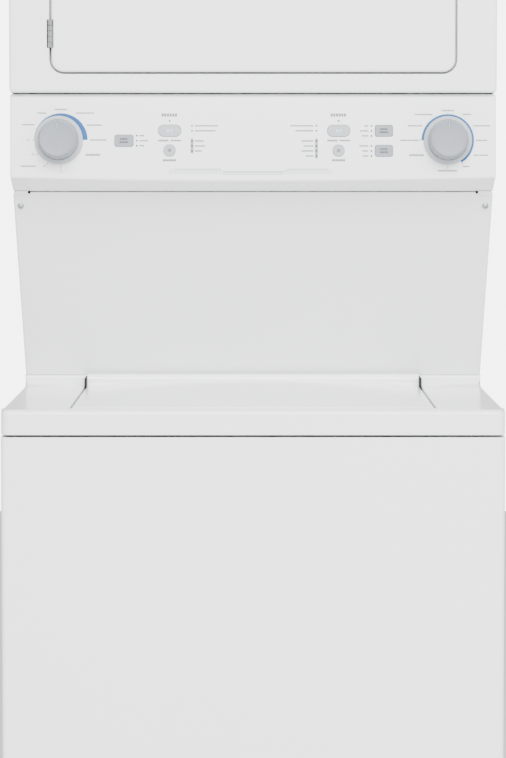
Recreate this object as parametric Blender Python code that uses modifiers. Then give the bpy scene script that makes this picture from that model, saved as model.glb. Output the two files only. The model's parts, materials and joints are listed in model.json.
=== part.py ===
"""Stacked laundry centre: a top-loading washer with a front-loading dryer over it.

Metres, +Z up, -Y is the front, +X the viewer's right. The origin is on the floor, under the
middle of the object's box. Every separate piece of the machine is an object of its own.
"""

import math

import bmesh
import bpy
from mathutils import Matrix, Vector

# ---------------------------------------------------------------- driving dimensions (metres)
WIDTH = 0.686            # both cabinets, over their sides
DEPTH = 0.800            # washer front to the rear-most fitting
HEIGHT = 1.924           # floor to the dryer's top
FITTING_REACH = 0.015    # what duct, valves and gland stand out behind the back panels
DECK_HEIGHT = 0.965      # floor to the washer's top surface
CONSOLE_TOP = 1.397
CONSOLE_BASE = 1.2595    # also the underside of the dryer
DRYER_SETBACK = 0.160    # dryer front behind the washer front

SHEET = 0.0015           # sheet steel
PLASTIC = 0.0025         # moulded walls
TOUCH = 0.0003           # between pieces that rest on each other
RUN = 0.0010             # between pieces that move past each other
SEAM = 0.0015            # seam between two panels

FRONT = -DEPTH / 2
BACK = DEPTH / 2 - FITTING_REACH
HALF = WIDTH / 2
INNER = HALF - SHEET

# washer cabinet
FOOT_HEIGHT = 0.030
FOOT_RADIUS = 0.020
FOOT_INSET = 0.050
BASE_PAN_WALL = 0.002
BASE_PAN_HEIGHT = 0.030
TOE_GAP = 0.010
PANEL_EDGE_RADIUS = 0.007
PANEL_PAN_DEPTH = 0.030
DECK_SKIRT = 0.034
DECK_GAP = 0.0033
DECK_CORNER = 0.012
DECK_LEDGE = 0.015       # raised rear part of the deck, under the neck

# water valve in the back
VALVE_X = (0.160, 0.225)
VALVE_Z = 0.820
VALVE_BORE = 0.0145
VALVE_NECK = 0.0125
VALVE_PORT = 0.0090

# lid
LID_HALF = 0.249
LID_SIDE_GAP = 0.003
LID_FRONT_INSET = 0.033
LID_AXIS_BACK = 0.411    # hinge axis behind the washer front
LID_ROLL = 0.008         # radius of the rolled rear edge
LID_AXIS_RISE = 0.009    # hinge axis above the deck
LID_CROWN = 0.009
LID_EDGE_DROP = 0.009
LID_RECESS = 0.013
HINGE_ROD = 0.003

# tub and its drive
TUB_BACK = 0.330         # tub axis behind the washer front
TUB_RADIUS = 0.285
TUB_BASE = 0.340
TUB_TOP = 0.880
TUB_WALL = 0.0030
TUB_CORNER = 0.020
BASKET_RADIUS = 0.262
BASKET_WALL = 0.0015
BASKET_LIFT = 0.030
BALANCE_INNER = 0.225
BALANCE_DEEP = 0.030
AGITATOR_RADIUS = 0.070
AGITATOR_FIN = 0.150
AGITATOR_TOP = 0.800
SHAFT = 0.012
PULLEY_Z = 0.140
DRIVE_PULLEY = 0.085
WASHER_MOTOR_PULLEY = 0.025
BELT_THICK = 0.0040
BELT_WIDE = 0.010
PULLEY_RIM = 0.004           # how far a pulley rim stands over its groove
PULLEY_CHEEK = 0.003         # thickness of that rim
WASHER_MOTOR_OFFSET = (0.150, 0.235)
WASHER_MOTOR_RADIUS = 0.062

# neck between the machines
NECK_TOP = 1.2580
NECK_LEAN_TOP = 0.212    # slanted panel behind the washer front, at its top
NECK_LEAN_BASE = 0.4220  # the same at its foot
NECK_RETURN = 0.018

# dryer
DRYER_PAN_DEPTH = 0.0295
DRYER_EDGE = 0.010
DOOR_LEFT = -0.2850
DOOR_RIGHT = 0.2860
DOOR_BASE = 1.4260
DOOR_TOP = 1.8640
DOOR_CORNER = 0.019
DOOR_GAP = 0.0030
DOOR_THICK = 0.0175
POCKET_DEPTH = 0.0215
ACCESS_HALF = 0.200
ACCESS_BASE = 1.485
ACCESS_TOP = 1.805
ACCESS_CORNER = 0.060
DOOR_PLUG_GAP = 0.008
DOOR_PLUG_REACH = 0.0130
HINGE_RADIUS = 0.0033
HINGE_LENGTH = 0.039
HINGE_ROOM = 0.0015          # free space round a knuckle
HINGE_END_ROOM = 0.0005
HINGE_LOW = 1.481
HINGE_LEAF = 0.013
KNUCKLES = 5
GRIP_Z = 1.665
GRIP_HEIGHT = 0.110
GRIP_WIDTH = 0.030
GRIP_FROM_EDGE = 0.022
GRIP_DEPTH = 0.012

DRUM_Z = 1.605
DRUM_RADIUS = 0.295
DRUM_LIP = DRUM_RADIUS - 0.023
DRUM_FRONT_BACK = 0.258  # drum mouth behind the washer front
DRUM_REAR_ROOM = 0.040
DRUM_SHAFT = 0.010
BAFFLE_RISE = 0.055
DRUM_STEPS = 30
BAFFLE_HALF = 0.029
BULKHEAD_GAP = 0.005
DRYER_MOTOR = (0.235, 1.335)
DRYER_MOTOR_RADIUS = 0.050
DRYER_PULLEY = 0.012
DRYER_BELT_Y = 0.1175
BLOWER_RADIUS = 0.058
BLOWER_DEPTH = 0.022
EXHAUST = (-0.235, 1.325)
EXHAUST_RADIUS = 0.0515
GLAND = (0.250, 1.450)
GLAND_RADIUS = 0.011

LINT_HALF = 0.120
LINT_THICK = 0.016
LINT_BEHIND = 0.0335      # middle of the screen behind the door pocket's floor
LINT_DEEP = 0.080
LINT_GRIP = 0.007
LINT_DUCT_WALL = 0.002

# control console
CONSOLE_DEPTH = 0.048     # from the middle of the face to the open back
CONSOLE_FACE_BACK = 0.168  # middle of the face behind the washer front
CONSOLE_TILT = math.radians(4.0)
CONSOLE_FACE_BASE = 1.2790
CONSOLE_ROLL = 0.007
CONSOLE_FOOT_BACK = 0.212  # rear edge of the band under the face
BUTTON_STEM = 0.010
BUTTON_RAISE = 0.0018
BUTTON_RUN = 0.0005
KNOB_SKIRT = 0.034
KNOB_SKIRT_THICK = 0.005
KNOB_CAP = 0.0285
KNOB_HEIGHT = 0.033
KNOB_SHAFT = 0.003
# name: (x, z, half width, half height, corner radius)
BUTTONS = {
    "dryer_temperature_button": (-0.1820, 1.3310, 0.0130, 0.0080, 0.0030),
    "dryer_start_button": (-0.1175, 1.3452, 0.0160, 0.0080, 0.0078),
    "dryer_cancel_button": (-0.1177, 1.3172, 0.0080, 0.0080, 0.0078),
    "washer_start_button": (0.1210, 1.3450, 0.0160, 0.0080, 0.0078),
    "washer_cancel_button": (0.1208, 1.3170, 0.0080, 0.0080, 0.0078),
    "wash_temperature_button": (0.1848, 1.3450, 0.0124, 0.0078, 0.0030),
    "load_size_button": (0.1848, 1.3168, 0.0124, 0.0078, 0.0030),
}
KNOBS = {"dryer_knob": (-0.2740, 1.3320), "washer_knob": (0.2748, 1.3315)}

LID_AXIS = Vector((0.0, FRONT + LID_AXIS_BACK, DECK_HEIGHT + LID_AXIS_RISE))
TUB_Y = FRONT + TUB_BACK
DRYER_FRONT = FRONT + DRYER_SETBACK
DRUM_FRONT = FRONT + DRUM_FRONT_BACK
DRUM_BACK = BACK - DRUM_REAR_ROOM
DECK_BASE = DECK_HEIGHT - DECK_SKIRT
WASHER_TOP = DECK_BASE - DECK_GAP
LEDGE_FRONT = LID_AXIS.y + LID_ROLL + RUN
CONSOLE_FACE_Y = FRONT + CONSOLE_FACE_BACK
CONSOLE_MID = (CONSOLE_FACE_BASE + CONSOLE_TOP) / 2
CONSOLE_BACK = CONSOLE_FACE_Y + CONSOLE_DEPTH
POCKET_FLOOR = DRYER_FRONT + POCKET_DEPTH
COLLAR_BACK = DRUM_FRONT - BULKHEAD_GAP - SHEET - 0.012
LINT_Y = POCKET_FLOOR + LINT_BEHIND


# ------------------------------------------------------------------------------ helpers
def start():
    """An empty file with one collection for the parts and one for the cutters."""
    for ob in list(bpy.data.objects):
        bpy.data.objects.remove(ob, do_unlink=True)
    found = {}
    for name in ("washer_dryer_stack", "cutters"):
        found[name] = bpy.data.collections.new(name)
        bpy.context.scene.collection.children.link(found[name])
    return found["washer_dryer_stack"], found["cutters"]


PARTS, CUTTERS = start()


def finish_material(name, rgb, roughness, metallic=0.0):
    mat = bpy.data.materials.new(name)
    mat.use_nodes = True
    shader = mat.node_tree.nodes["Principled BSDF"]
    shader.inputs["Base Color"].default_value = (*rgb, 1.0)
    shader.inputs["Roughness"].default_value = roughness
    shader.inputs["Metallic"].default_value = metallic
    mat.diffuse_color = (*rgb, 1.0)
    return mat


WHITE = finish_material("white_enamel", (0.86, 0.87, 0.86), 0.3)
CONSOLE_WHITE = finish_material("console_plastic", (0.84, 0.85, 0.84), 0.4)
GREY = finish_material("grey_plastic", (0.42, 0.43, 0.45), 0.45)
LIGHT_GREY = finish_material("light_grey_plastic", (0.57, 0.58, 0.59), 0.45)
DARK = finish_material("black_rubber", (0.03, 0.03, 0.03), 0.7)
ZINC = finish_material("zinc_plate", (0.62, 0.63, 0.64), 0.35, 1.0)
STEEL = finish_material("stainless_steel", (0.60, 0.60, 0.60), 0.25, 1.0)
ALUMINIUM = finish_material("cast_aluminium", (0.55, 0.56, 0.57), 0.5, 1.0)


def place(ob, mat, cutter=False):
    """Put an object in its collection and give it its finish."""
    (CUTTERS if cutter else PARTS).objects.link(ob)
    ob.data.materials.append(mat)
    if cutter:
        ob.hide_render = True
        ob.display_type = "WIRE"
    return ob


def from_bmesh(name, bm, mat, cutter=False):
    mesh = bpy.data.meshes.new(name)
    bm.to_mesh(mesh)
    bm.free()
    return place(bpy.data.objects.new(name, mesh), mat, cutter)


def box(name, low, high, mat, bevel=0.0, cutter=False):
    """A cuboid between two corners, its edges rounded if a bevel is given."""
    bm = bmesh.new()
    bmesh.ops.create_cube(bm, size=1.0)
    low, high = Vector(low), Vector(high)
    bmesh.ops.scale(bm, vec=high - low, verts=bm.verts)
    if bevel:
        bmesh.ops.bevel(bm, geom=bm.edges[:], offset=bevel, segments=2, profile=0.5, affect="EDGES")
    bmesh.ops.translate(bm, vec=(low + high) / 2, verts=bm.verts)
    return from_bmesh(name, bm, mat, cutter)


def rounded(x0, y0, x1, y1, radius, steps=4):
    """Outline of a rectangle with round corners, counter-clockwise."""
    if radius <= 0:
        return [(x0, y0), (x1, y0), (x1, y1), (x0, y1)]
    corners = ((x1 - radius, y0 + radius, -90), (x1 - radius, y1 - radius, 0),
               (x0 + radius, y1 - radius, 90), (x0 + radius, y0 + radius, 180))
    points = []
    for cx, cy, first in corners:
        for k in range(steps + 1):
            turn = math.radians(first + 90 * k / steps)
            points.append((cx + radius * math.cos(turn), cy + radius * math.sin(turn)))
    return points


def circle(cx, cy, radius, steps=32):
    turns = [2 * math.pi * k / steps for k in range(steps)]
    return [(cx + radius * math.cos(t), cy + radius * math.sin(t)) for t in turns]


def loop_round(first, second, grow, steps=28):
    """Outline whose flats touch two circles (x, y, radius), each grown by the same amount."""
    (ax, ay, ar), (bx, by, br) = first, second
    flats = math.cos(math.pi / steps)
    ar, br = (ar + grow) / flats, (br + grow) / flats
    away = math.atan2(by - ay, bx - ax)
    half = math.acos((ar - br) / math.hypot(bx - ax, by - ay))
    few = max(6, int(steps * half / math.pi))
    points = []
    for k in range(steps + 1):
        turn = away + half + (2 * math.pi - 2 * half) * k / steps
        points.append((ax + ar * math.cos(turn), ay + ar * math.sin(turn)))
    for k in range(few + 1):
        turn = away - half + 2 * half * k / few
        points.append((bx + br * math.cos(turn), by + br * math.sin(turn)))
    return points


def inset(points, by):
    """A counter-clockwise outline with each side moved inwards."""
    count = len(points)
    lines = []
    for k in range(count):
        a, b = Vector(points[k]), Vector(points[(k + 1) % count])
        along = (b - a).normalized()
        lines.append((a + Vector((-along.y, along.x)) * by, along))
    result = []
    for k in range(count):
        (p, u), (q, v) = lines[k - 1], lines[k]
        cross = u.x * v.y - u.y * v.x
        step = ((q.x - p.x) * v.y - (q.y - p.y) * v.x) / cross if abs(cross) > 1e-9 else 0.0
        result.append(tuple(p + u * step if abs(cross) > 1e-9 else q))
    return result


PLANES = {
    "XY": Matrix(((1, 0, 0), (0, 1, 0), (0, 0, 1))),
    "XZ": Matrix(((1, 0, 0), (0, 0, -1), (0, 1, 0))),
    "YZ": Matrix(((0, 0, 1), (1, 0, 0), (0, 1, 0))),
}
OUTWARD = {"XY": 1, "XZ": -1, "YZ": 1}


def plate(name, plane, outline, low, high, mat, holes=(), cutter=False):
    """A flat outline, with any holes, given its thickness between two heights of its plane."""
    curve = bpy.data.curves.new(name, "CURVE")
    curve.dimensions = "2D"
    curve.fill_mode = "BOTH"
    curve.extrude = (high - low) / 2
    for loop in (outline, *holes):
        spline = curve.splines.new("POLY")
        spline.points.add(len(loop) - 1)
        for point, (u, v) in zip(spline.points, loop):
            point.co = (u, v, 0.0, 1.0)
        spline.use_cyclic_u = True
    drawn = bpy.data.objects.new(name + "_outline", curve)
    PARTS.objects.link(drawn)
    turn = PLANES[plane].to_4x4()
    drawn.matrix_world = turn @ Matrix.Translation((0, 0, OUTWARD[plane] * (low + high) / 2))
    bpy.context.view_layer.update()
    mesh = bpy.data.meshes.new_from_object(drawn.evaluated_get(bpy.context.evaluated_depsgraph_get()))
    bm = bmesh.new()
    bm.from_mesh(mesh)
    bmesh.ops.remove_doubles(bm, verts=bm.verts, dist=1e-6)
    bmesh.ops.recalc_face_normals(bm, faces=bm.faces)
    bm.to_mesh(mesh)
    bm.free()
    mesh.materials.clear()
    ob = bpy.data.objects.new(name, mesh)
    ob.matrix_world = drawn.matrix_world.copy()
    bpy.data.objects.remove(drawn)
    mesh.name = name
    return place(ob, mat, cutter)


def turned(name, profile, mat, at=(0, 0, 0), axis="Z", steps=32, closed=False, cutter=False):
    """A profile of (radius, height) points, spun about Z, or about Y with height along +Y."""
    mesh = bpy.data.meshes.new(name)
    ring = [(k, k + 1) for k in range(len(profile) - 1)]
    if closed:
        ring.append((len(profile) - 1, 0))
    mesh.from_pydata([(r, 0.0, h) for r, h in profile], ring, [])
    ob = place(bpy.data.objects.new(name, mesh), mat, cutter)
    ob.location = at
    if axis == "Y":
        ob.rotation_euler = (-math.pi / 2, 0, 0)
    spin = ob.modifiers.new("spin", "SCREW")
    spin.steps = steps
    spin.render_steps = steps
    spin.use_merge_vertices = True
    spin.merge_threshold = 0.00001
    return ob


def ring(name, outer, inner, low, high, mat, **more):
    profile = [(outer, high), (outer, low), (inner, low), (inner, high)]
    return turned(name, profile, mat, closed=True, **more)


def rod(name, radius, low, high, mat, **more):
    return turned(name, [(0, high), (radius, high), (radius, low), (0, low)], mat, **more)


def cut(ob, *tools, operation="DIFFERENCE"):
    """Keep the tools as live Boolean cuts (or unions) of the object."""
    for tool in tools:
        step = ob.modifiers.new(operation.lower(), "BOOLEAN")
        step.operation = operation
        step.solver = "EXACT"
        step.object = tool
    return ob


def unite(ob, *tools):
    return cut(ob, *tools, operation="UNION")


def lean(ob, angle, about):
    """Tip a finished object about the X direction, through a point."""
    centre = Vector(about)
    turn = Matrix.Translation(centre) @ Matrix.Rotation(angle, 4, "X") @ Matrix.Translation(-centre)
    ob.matrix_world = turn @ ob.matrix_basis
    return ob


# ------------------------------------------------------------------------- washer cabinet
def foot_places():
    back = BACK - FOOT_INSET
    front = FRONT + FOOT_INSET + PANEL_PAN_DEPTH
    for side, x in (("left", -HALF + FOOT_INSET), ("right", HALF - FOOT_INSET)):
        yield "leveling_foot_front_" + side, x, front
        yield "leveling_foot_rear_" + side, x, back


def feet():
    """Rubber-soled levelling legs: pad, hex-like collar under the base, threaded stem."""
    collar = FOOT_HEIGHT - TOUCH
    stem = FOOT_HEIGHT + BASE_PAN_HEIGHT * 0.6
    for name, x, y in foot_places():
        profile = [(0, stem), (0.0050, stem), (0.0050, collar), (0.0110, collar),
                   (0.0110, collar - 0.008), (0.0060, collar - 0.008), (0.0070, 0.014),
                   (FOOT_RADIUS, 0.010), (FOOT_RADIUS, 0.001), (FOOT_RADIUS - 0.001, 0.0), (0, 0.0)]
        turned(name, profile, DARK, at=(x, y, 0), steps=16)


def washer_base():
    low, high = FOOT_HEIGHT, FOOT_HEIGHT + BASE_PAN_HEIGHT
    edge = INNER - TOUCH
    front, back = FRONT + PANEL_PAN_DEPTH + SEAM + TOUCH, BACK - SHEET - TOUCH
    pan = box("washer_base_pan", (-edge, front, low), (edge, back, high), ZINC)
    wall = BASE_PAN_WALL
    hollow = box("base_hollow", (-edge + wall, front + wall, low + wall),
                 (edge - wall, back - wall, high + wall), ZINC, cutter=True)
    holes = [rod("foot_hole_" + name, 0.0056, low - wall, low + 2 * wall, ZINC,
                 at=(x, y, 0), steps=16, cutter=True) for name, x, y in foot_places()]
    cut(pan, hollow, *holes)


def washer_cabinet():
    """Wrap-round sides and back, with flanges turned in behind the front panel."""
    low, front = FOOT_HEIGHT + BASE_PAN_WALL, FRONT + PANEL_PAN_DEPTH + SEAM
    flange = 0.020
    outer = [(-HALF, front), (-HALF + flange, front), (-HALF + flange, front + SHEET),
             (-INNER, front + SHEET), (-INNER, BACK - SHEET), (INNER, BACK - SHEET),
             (INNER, front + SHEET), (HALF - flange, front + SHEET), (HALF - flange, front),
             (HALF, front), (HALF, BACK), (-HALF, BACK)]
    # the base pan stands inside, so the flanges start above it
    wrap = plate("washer_cabinet", "XY", outer, low, WASHER_TOP, WHITE)
    clear = FOOT_HEIGHT + BASE_PAN_HEIGHT + TOUCH
    notch = box("flange_notch", (-INNER, front - SEAM, low - SHEET),
                (INNER, front + flange, clear), WHITE, cutter=True)
    holes = [rod("inlet_hole_%d" % k, VALVE_BORE, BACK - 0.01, BACK + 0.01, WHITE,
                 at=(x, 0, VALVE_Z), axis="Y", steps=20, cutter=True)
             for k, x in enumerate(VALVE_X)]
    cut(wrap, notch, *holes)


def water_valve():
    """Twin water valve inside the back, with its two hose threads reaching out."""
    inside = BACK - SHEET - TOUCH
    mid = sum(VALVE_X) / 2
    body = box("water_inlet_valve", (mid - 0.060, inside - 0.055, VALVE_Z - 0.022),
               (mid + 0.060, inside, VALVE_Z + 0.022), GREY, bevel=0.003)
    necks = [turned("valve_neck_%d" % k, [(VALVE_NECK, DEPTH / 2), (VALVE_NECK, inside - 0.010),
                    (VALVE_PORT, inside - 0.010), (VALVE_PORT, DEPTH / 2)], GREY, at=(x, 0, VALVE_Z),
                    axis="Y", steps=20, closed=True, cutter=True) for k, x in enumerate(VALVE_X)]
    bores = [rod("valve_bore_%d" % k, VALVE_PORT, inside - 0.020, DEPTH / 2 + 0.001, GREY,
                 at=(x, 0, VALVE_Z), axis="Y", steps=20, cutter=True) for k, x in enumerate(VALVE_X)]
    unite(body, *necks)
    cut(body, *bores)


def front_outline(front, back, half, radius, steps=4):
    """Plan of a panel seen from above, its two front corners rounded."""
    points = [(half, back), (-half, back)]
    for cx, first in ((-half + radius, 180), (half - radius, 270)):
        for k in range(steps + 1):
            turn = math.radians(first + 90 * k / steps)
            points.append((cx + radius * math.cos(turn), front + radius + radius * math.sin(turn)))
    return points


def washer_front():
    low, back = FOOT_HEIGHT + TOE_GAP, FRONT + PANEL_PAN_DEPTH
    skin = front_outline(FRONT, back, HALF, PANEL_EDGE_RADIUS)
    hollow = front_outline(FRONT + SHEET, back + 0.01, INNER, PANEL_EDGE_RADIUS - SHEET)
    panel = plate("washer_front_panel", "XY", skin, low, WASHER_TOP, WHITE)
    cut(panel, plate("front_hollow", "XY", hollow, low + SHEET, WASHER_TOP - SHEET, WHITE, cutter=True))


def slice_at(bm, normal, places):
    for value in places:
        geom = bm.verts[:] + bm.edges[:] + bm.faces[:]
        point = Vector(normal) * value
        bmesh.ops.bisect_plane(bm, geom=geom, plane_co=point, plane_no=normal, dist=1e-6)


def raise_region(bm, inside, rise):
    """Push the faces that a test picks up or down, with walls down to their neighbours."""
    faces = [f for f in bm.faces if inside(f.calc_center_median())]
    grown = bmesh.ops.extrude_face_region(bm, geom=faces)["geom"]
    moved = [g for g in grown if isinstance(g, bmesh.types.BMVert)]
    bmesh.ops.translate(bm, vec=(0, 0, rise), verts=moved)
    left = [f for f in faces if f.is_valid]
    if left:
        bmesh.ops.delete(bm, geom=left, context="FACES")


def washer_deck():
    """Pressed steel top: lid recess with its opening, raised ledge behind, skirt all round."""
    recess = LID_HALF + LID_SIDE_GAP
    recess_front = FRONT + LID_FRONT_INSET - LID_SIDE_GAP
    ridge = LID_AXIS.y - LID_ROLL
    hole_half = recess - 0.026
    hole_front, hole_back = recess_front + 0.026, ridge - 0.026
    bm = bmesh.new()
    bmesh.ops.create_grid(bm, x_segments=1, y_segments=1, size=0.5)
    bmesh.ops.scale(bm, vec=(WIDTH, BACK - FRONT, 1), verts=bm.verts)
    bmesh.ops.translate(bm, vec=(0, (BACK + FRONT) / 2, DECK_HEIGHT), verts=bm.verts)
    slice_at(bm, (1, 0, 0), (-recess, -hole_half, hole_half, recess))
    slice_at(bm, (0, 1, 0), (recess_front, hole_front, hole_back, ridge, LEDGE_FRONT))
    in_recess = lambda c: abs(c.x) < recess and recess_front < c.y < LEDGE_FRONT
    on_ledge = lambda c: c.y > LEDGE_FRONT or (c.y > ridge and abs(c.x) > recess)
    raise_region(bm, on_ledge, DECK_LEDGE)
    raise_region(bm, lambda c: in_recess(c) and abs(c.z - DECK_HEIGHT) < 1e-4, -LID_RECESS)
    hole = [f for f in bm.faces if abs(f.normal.z) > 0.5 and abs(f.calc_center_median().x) < hole_half
            and hole_front < f.calc_center_median().y < hole_back]
    bmesh.ops.delete(bm, geom=hole, context="FACES")
    rim = [e for e in bm.edges if e.is_boundary and all(
        abs(abs(v.co.x) - HALF) < 1e-5 or abs(v.co.y - FRONT) < 1e-5 or abs(v.co.y - BACK) < 1e-5
        for v in e.verts)]
    skirt = bmesh.ops.extrude_edge_only(bm, edges=rim)["geom"]
    for v in (g for g in skirt if isinstance(g, bmesh.types.BMVert)):
        v.co.z = DECK_BASE
    bmesh.ops.remove_doubles(bm, verts=bm.verts, dist=1e-6)
    posts = [e for e in bm.edges if all(abs(abs(v.co.x) - HALF) < 1e-5 and abs(v.co.y - FRONT) < 1e-5
                                        for v in e.verts)]
    bmesh.ops.bevel(bm, geom=posts, offset=DECK_CORNER, segments=3, profile=0.5, affect="EDGES")
    bmesh.ops.recalc_face_normals(bm, faces=bm.faces)
    up = max(bm.faces, key=lambda f: f.calc_center_median().z)
    if up.normal.z < 0:
        bmesh.ops.reverse_faces(bm, faces=bm.faces)
    deck = from_bmesh("washer_top_deck", bm, WHITE)
    wall = deck.modifiers.new("wall", "SOLIDIFY")
    wall.thickness = SHEET
    wall.offset = -1.0
    wall.use_even_offset = True
    reach = recess + 0.012
    hole = rod("hinge_rod_hole", HINGE_ROD + TOUCH, -reach, reach, WHITE, steps=12, cutter=True)
    hole.rotation_euler = (0, math.pi / 2, 0)
    hole.location = LID_AXIS
    cut(deck, hole)


def washer_lid():
    """Crowned steel lid, its rear edge rolled into a tube on the hinge axis."""
    front = FRONT + LID_FRONT_INSET
    back = LID_AXIS.y - LID_ROLL / 2
    base = DECK_HEIGHT - LID_EDGE_DROP
    bm = bmesh.new()
    bmesh.ops.create_grid(bm, x_segments=8, y_segments=6, size=0.5)
    bmesh.ops.scale(bm, vec=(2 * LID_HALF, back - front, 1), verts=bm.verts)
    bmesh.ops.translate(bm, vec=(0, (front + back) / 2, DECK_HEIGHT), verts=bm.verts)
    for v in bm.verts:
        across = 1 - (v.co.x / LID_HALF) ** 2
        along = (v.co.y - front) / (back - front)
        v.co.z += LID_CROWN * across * math.sin(math.pi * min(1.0, 0.15 + 0.6 * along))
    rim = [e for e in bm.edges if e.is_boundary]
    skirt = bmesh.ops.extrude_edge_only(bm, edges=rim)["geom"]
    for v in (g for g in skirt if isinstance(g, bmesh.types.BMVert)):
        v.co.z = base
    bmesh.ops.recalc_face_normals(bm, faces=bm.faces)
    top = max(bm.faces, key=lambda f: f.calc_center_median().z)
    if top.normal.z < 0:
        bmesh.ops.reverse_faces(bm, faces=bm.faces)
    lid = from_bmesh("washer_lid", bm, WHITE)
    wall = lid.modifiers.new("wall", "SOLIDIFY")
    wall.thickness = SHEET
    wall.offset = -1.0
    wall.use_even_offset = True
    roll = rod("lid_roll", LID_ROLL, -LID_HALF + 0.0002, LID_HALF - 0.0002, WHITE, steps=20, cutter=True)
    bore = rod("lid_roll_bore", LID_ROLL - SHEET, -LID_HALF - 0.01, LID_HALF + 0.01, WHITE,
               steps=20, cutter=True)
    for tool in (roll, bore):
        tool.rotation_euler = (0, math.pi / 2, 0)
        tool.location = LID_AXIS
    unite(lid, roll)
    cut(lid, bore)


def lid_hinge_rod():
    reach = LID_HALF + LID_SIDE_GAP + 0.008
    pin = rod("lid_hinge_rod", HINGE_ROD, -reach, reach, ZINC, steps=12)
    pin.rotation_euler = (0, math.pi / 2, 0)
    pin.location = LID_AXIS


# --------------------------------------------------------------------------- tub and drive
def outer_tub():
    """Plastic water tub, closed below round the transmission and open above."""
    neck = 0.034
    profile = [(TUB_RADIUS, TUB_TOP), (TUB_RADIUS, TUB_BASE + TUB_CORNER),
               (TUB_RADIUS - TUB_CORNER, TUB_BASE),
               (neck, TUB_BASE), (neck, TUB_BASE + TUB_WALL),
               (TUB_RADIUS - 0.021, TUB_BASE + TUB_WALL), (TUB_RADIUS - TUB_WALL, TUB_BASE + 0.021),
               (TUB_RADIUS - TUB_WALL, TUB_TOP)]
    tub = turned("outer_tub", profile, LIGHT_GREY, at=(0, TUB_Y, 0), steps=28, closed=True)
    inner = BALANCE_INNER - 0.006
    lip = [(TUB_RADIUS, TUB_TOP + 0.010), (TUB_RADIUS + 0.006, TUB_TOP + 0.006),
           (TUB_RADIUS + 0.006, TUB_TOP - 0.006), (TUB_RADIUS - 0.001, TUB_TOP - 0.006),
           (TUB_RADIUS - 0.001, TUB_TOP + 0.002), (inner + 0.004, TUB_TOP + 0.008),
           (inner, TUB_TOP + 0.004), (inner, TUB_TOP + 0.014)]
    unite(tub, turned("tub_ring", lip, LIGHT_GREY, at=(0, TUB_Y, 0), steps=28, closed=True, cutter=True))


def wash_basket():
    base = TUB_BASE + BASKET_LIFT
    top = TUB_TOP - 0.010
    hub = SHAFT + 0.012
    profile = [(BASKET_RADIUS, top - BALANCE_DEEP), (BASKET_RADIUS, base + TUB_CORNER),
               (BASKET_RADIUS - TUB_CORNER, base), (hub + 0.004, base), (hub + 0.004, TUB_BASE + 0.004),
               (hub - 0.006, TUB_BASE + 0.004), (hub - 0.006, base + BASKET_WALL),
               (BASKET_RADIUS - 0.021, base + BASKET_WALL),
               (BASKET_RADIUS - BASKET_WALL, base + 0.021), (BASKET_RADIUS - BASKET_WALL, top - BALANCE_DEEP)]
    turned("wash_basket", profile, STEEL, at=(0, TUB_Y, 0), steps=28, closed=True)
    low = top - BALANCE_DEEP + TOUCH
    ring("balance_ring", BASKET_RADIUS + 0.004, BALANCE_INNER, low, low + BALANCE_DEEP, LIGHT_GREY,
         at=(0, TUB_Y, 0), steps=28)


def agitator():
    """Post with four fins, on the shaft that comes up through the basket."""
    base = TUB_BASE + BASKET_LIFT + BASKET_WALL + 0.004
    profile = [(0, AGITATOR_TOP), (0.020, AGITATOR_TOP), (0.030, AGITATOR_TOP - 0.012),
               (0.036, AGITATOR_TOP - 0.150), (AGITATOR_RADIUS, base + 0.110),
               (AGITATOR_FIN - 0.020, base + 0.020), (AGITATOR_FIN, base + 0.006),
               (AGITATOR_FIN, base), (AGITATOR_FIN - 0.003, base),
               (AGITATOR_RADIUS - 0.004, base + 0.090), (SHAFT + TOUCH, base + 0.100),
               (SHAFT + TOUCH, AGITATOR_TOP - 0.180), (0, AGITATOR_TOP - 0.180)]
    post = turned("agitator", profile, LIGHT_GREY, at=(0, TUB_Y, 0), steps=24)
    fins = []
    for k in range(4):
        turn = math.pi / 4 + k * math.pi / 2
        across = Vector((math.cos(turn), math.sin(turn), 0))
        fin = plate("agitator_fin_%d" % k, "XZ",
                    [(AGITATOR_RADIUS * 0.35, base + 0.100), (AGITATOR_FIN + 0.030, base + 0.012),
                     (AGITATOR_FIN + 0.034, base + 0.040), (AGITATOR_RADIUS + 0.006, base + 0.300),
                     (AGITATOR_RADIUS * 0.35, base + 0.320)], -0.003, 0.003, LIGHT_GREY, cutter=True)
        fin.matrix_world = (Matrix.Translation((0, TUB_Y, 0))
                            @ Matrix.Rotation(math.atan2(across.y, across.x), 4, "Z")
                            @ fin.matrix_world)
        fins.append(fin)
    unite(post, *fins)
    top = AGITATOR_TOP - 0.181
    low = PULLEY_Z - BELT_WIDE
    profile = [(0, top), (SHAFT, top), (SHAFT, PULLEY_Z + BELT_WIDE / 2 + PULLEY_CHEEK),
               (DRIVE_PULLEY + PULLEY_RIM, PULLEY_Z + BELT_WIDE / 2 + PULLEY_CHEEK),
               (DRIVE_PULLEY + PULLEY_RIM, PULLEY_Z + BELT_WIDE / 2 + RUN),
               (DRIVE_PULLEY, PULLEY_Z + BELT_WIDE / 2 + RUN),
               (DRIVE_PULLEY, PULLEY_Z - BELT_WIDE / 2 - RUN),
               (DRIVE_PULLEY + PULLEY_RIM, PULLEY_Z - BELT_WIDE / 2 - RUN),
               (DRIVE_PULLEY + PULLEY_RIM, PULLEY_Z - BELT_WIDE / 2 - PULLEY_CHEEK), (0.014, low - 0.003),
               (0, low - 0.003)]
    turned("drive_shaft_and_pulley", profile, ALUMINIUM, at=(0, TUB_Y, 0), steps=32)


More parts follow.
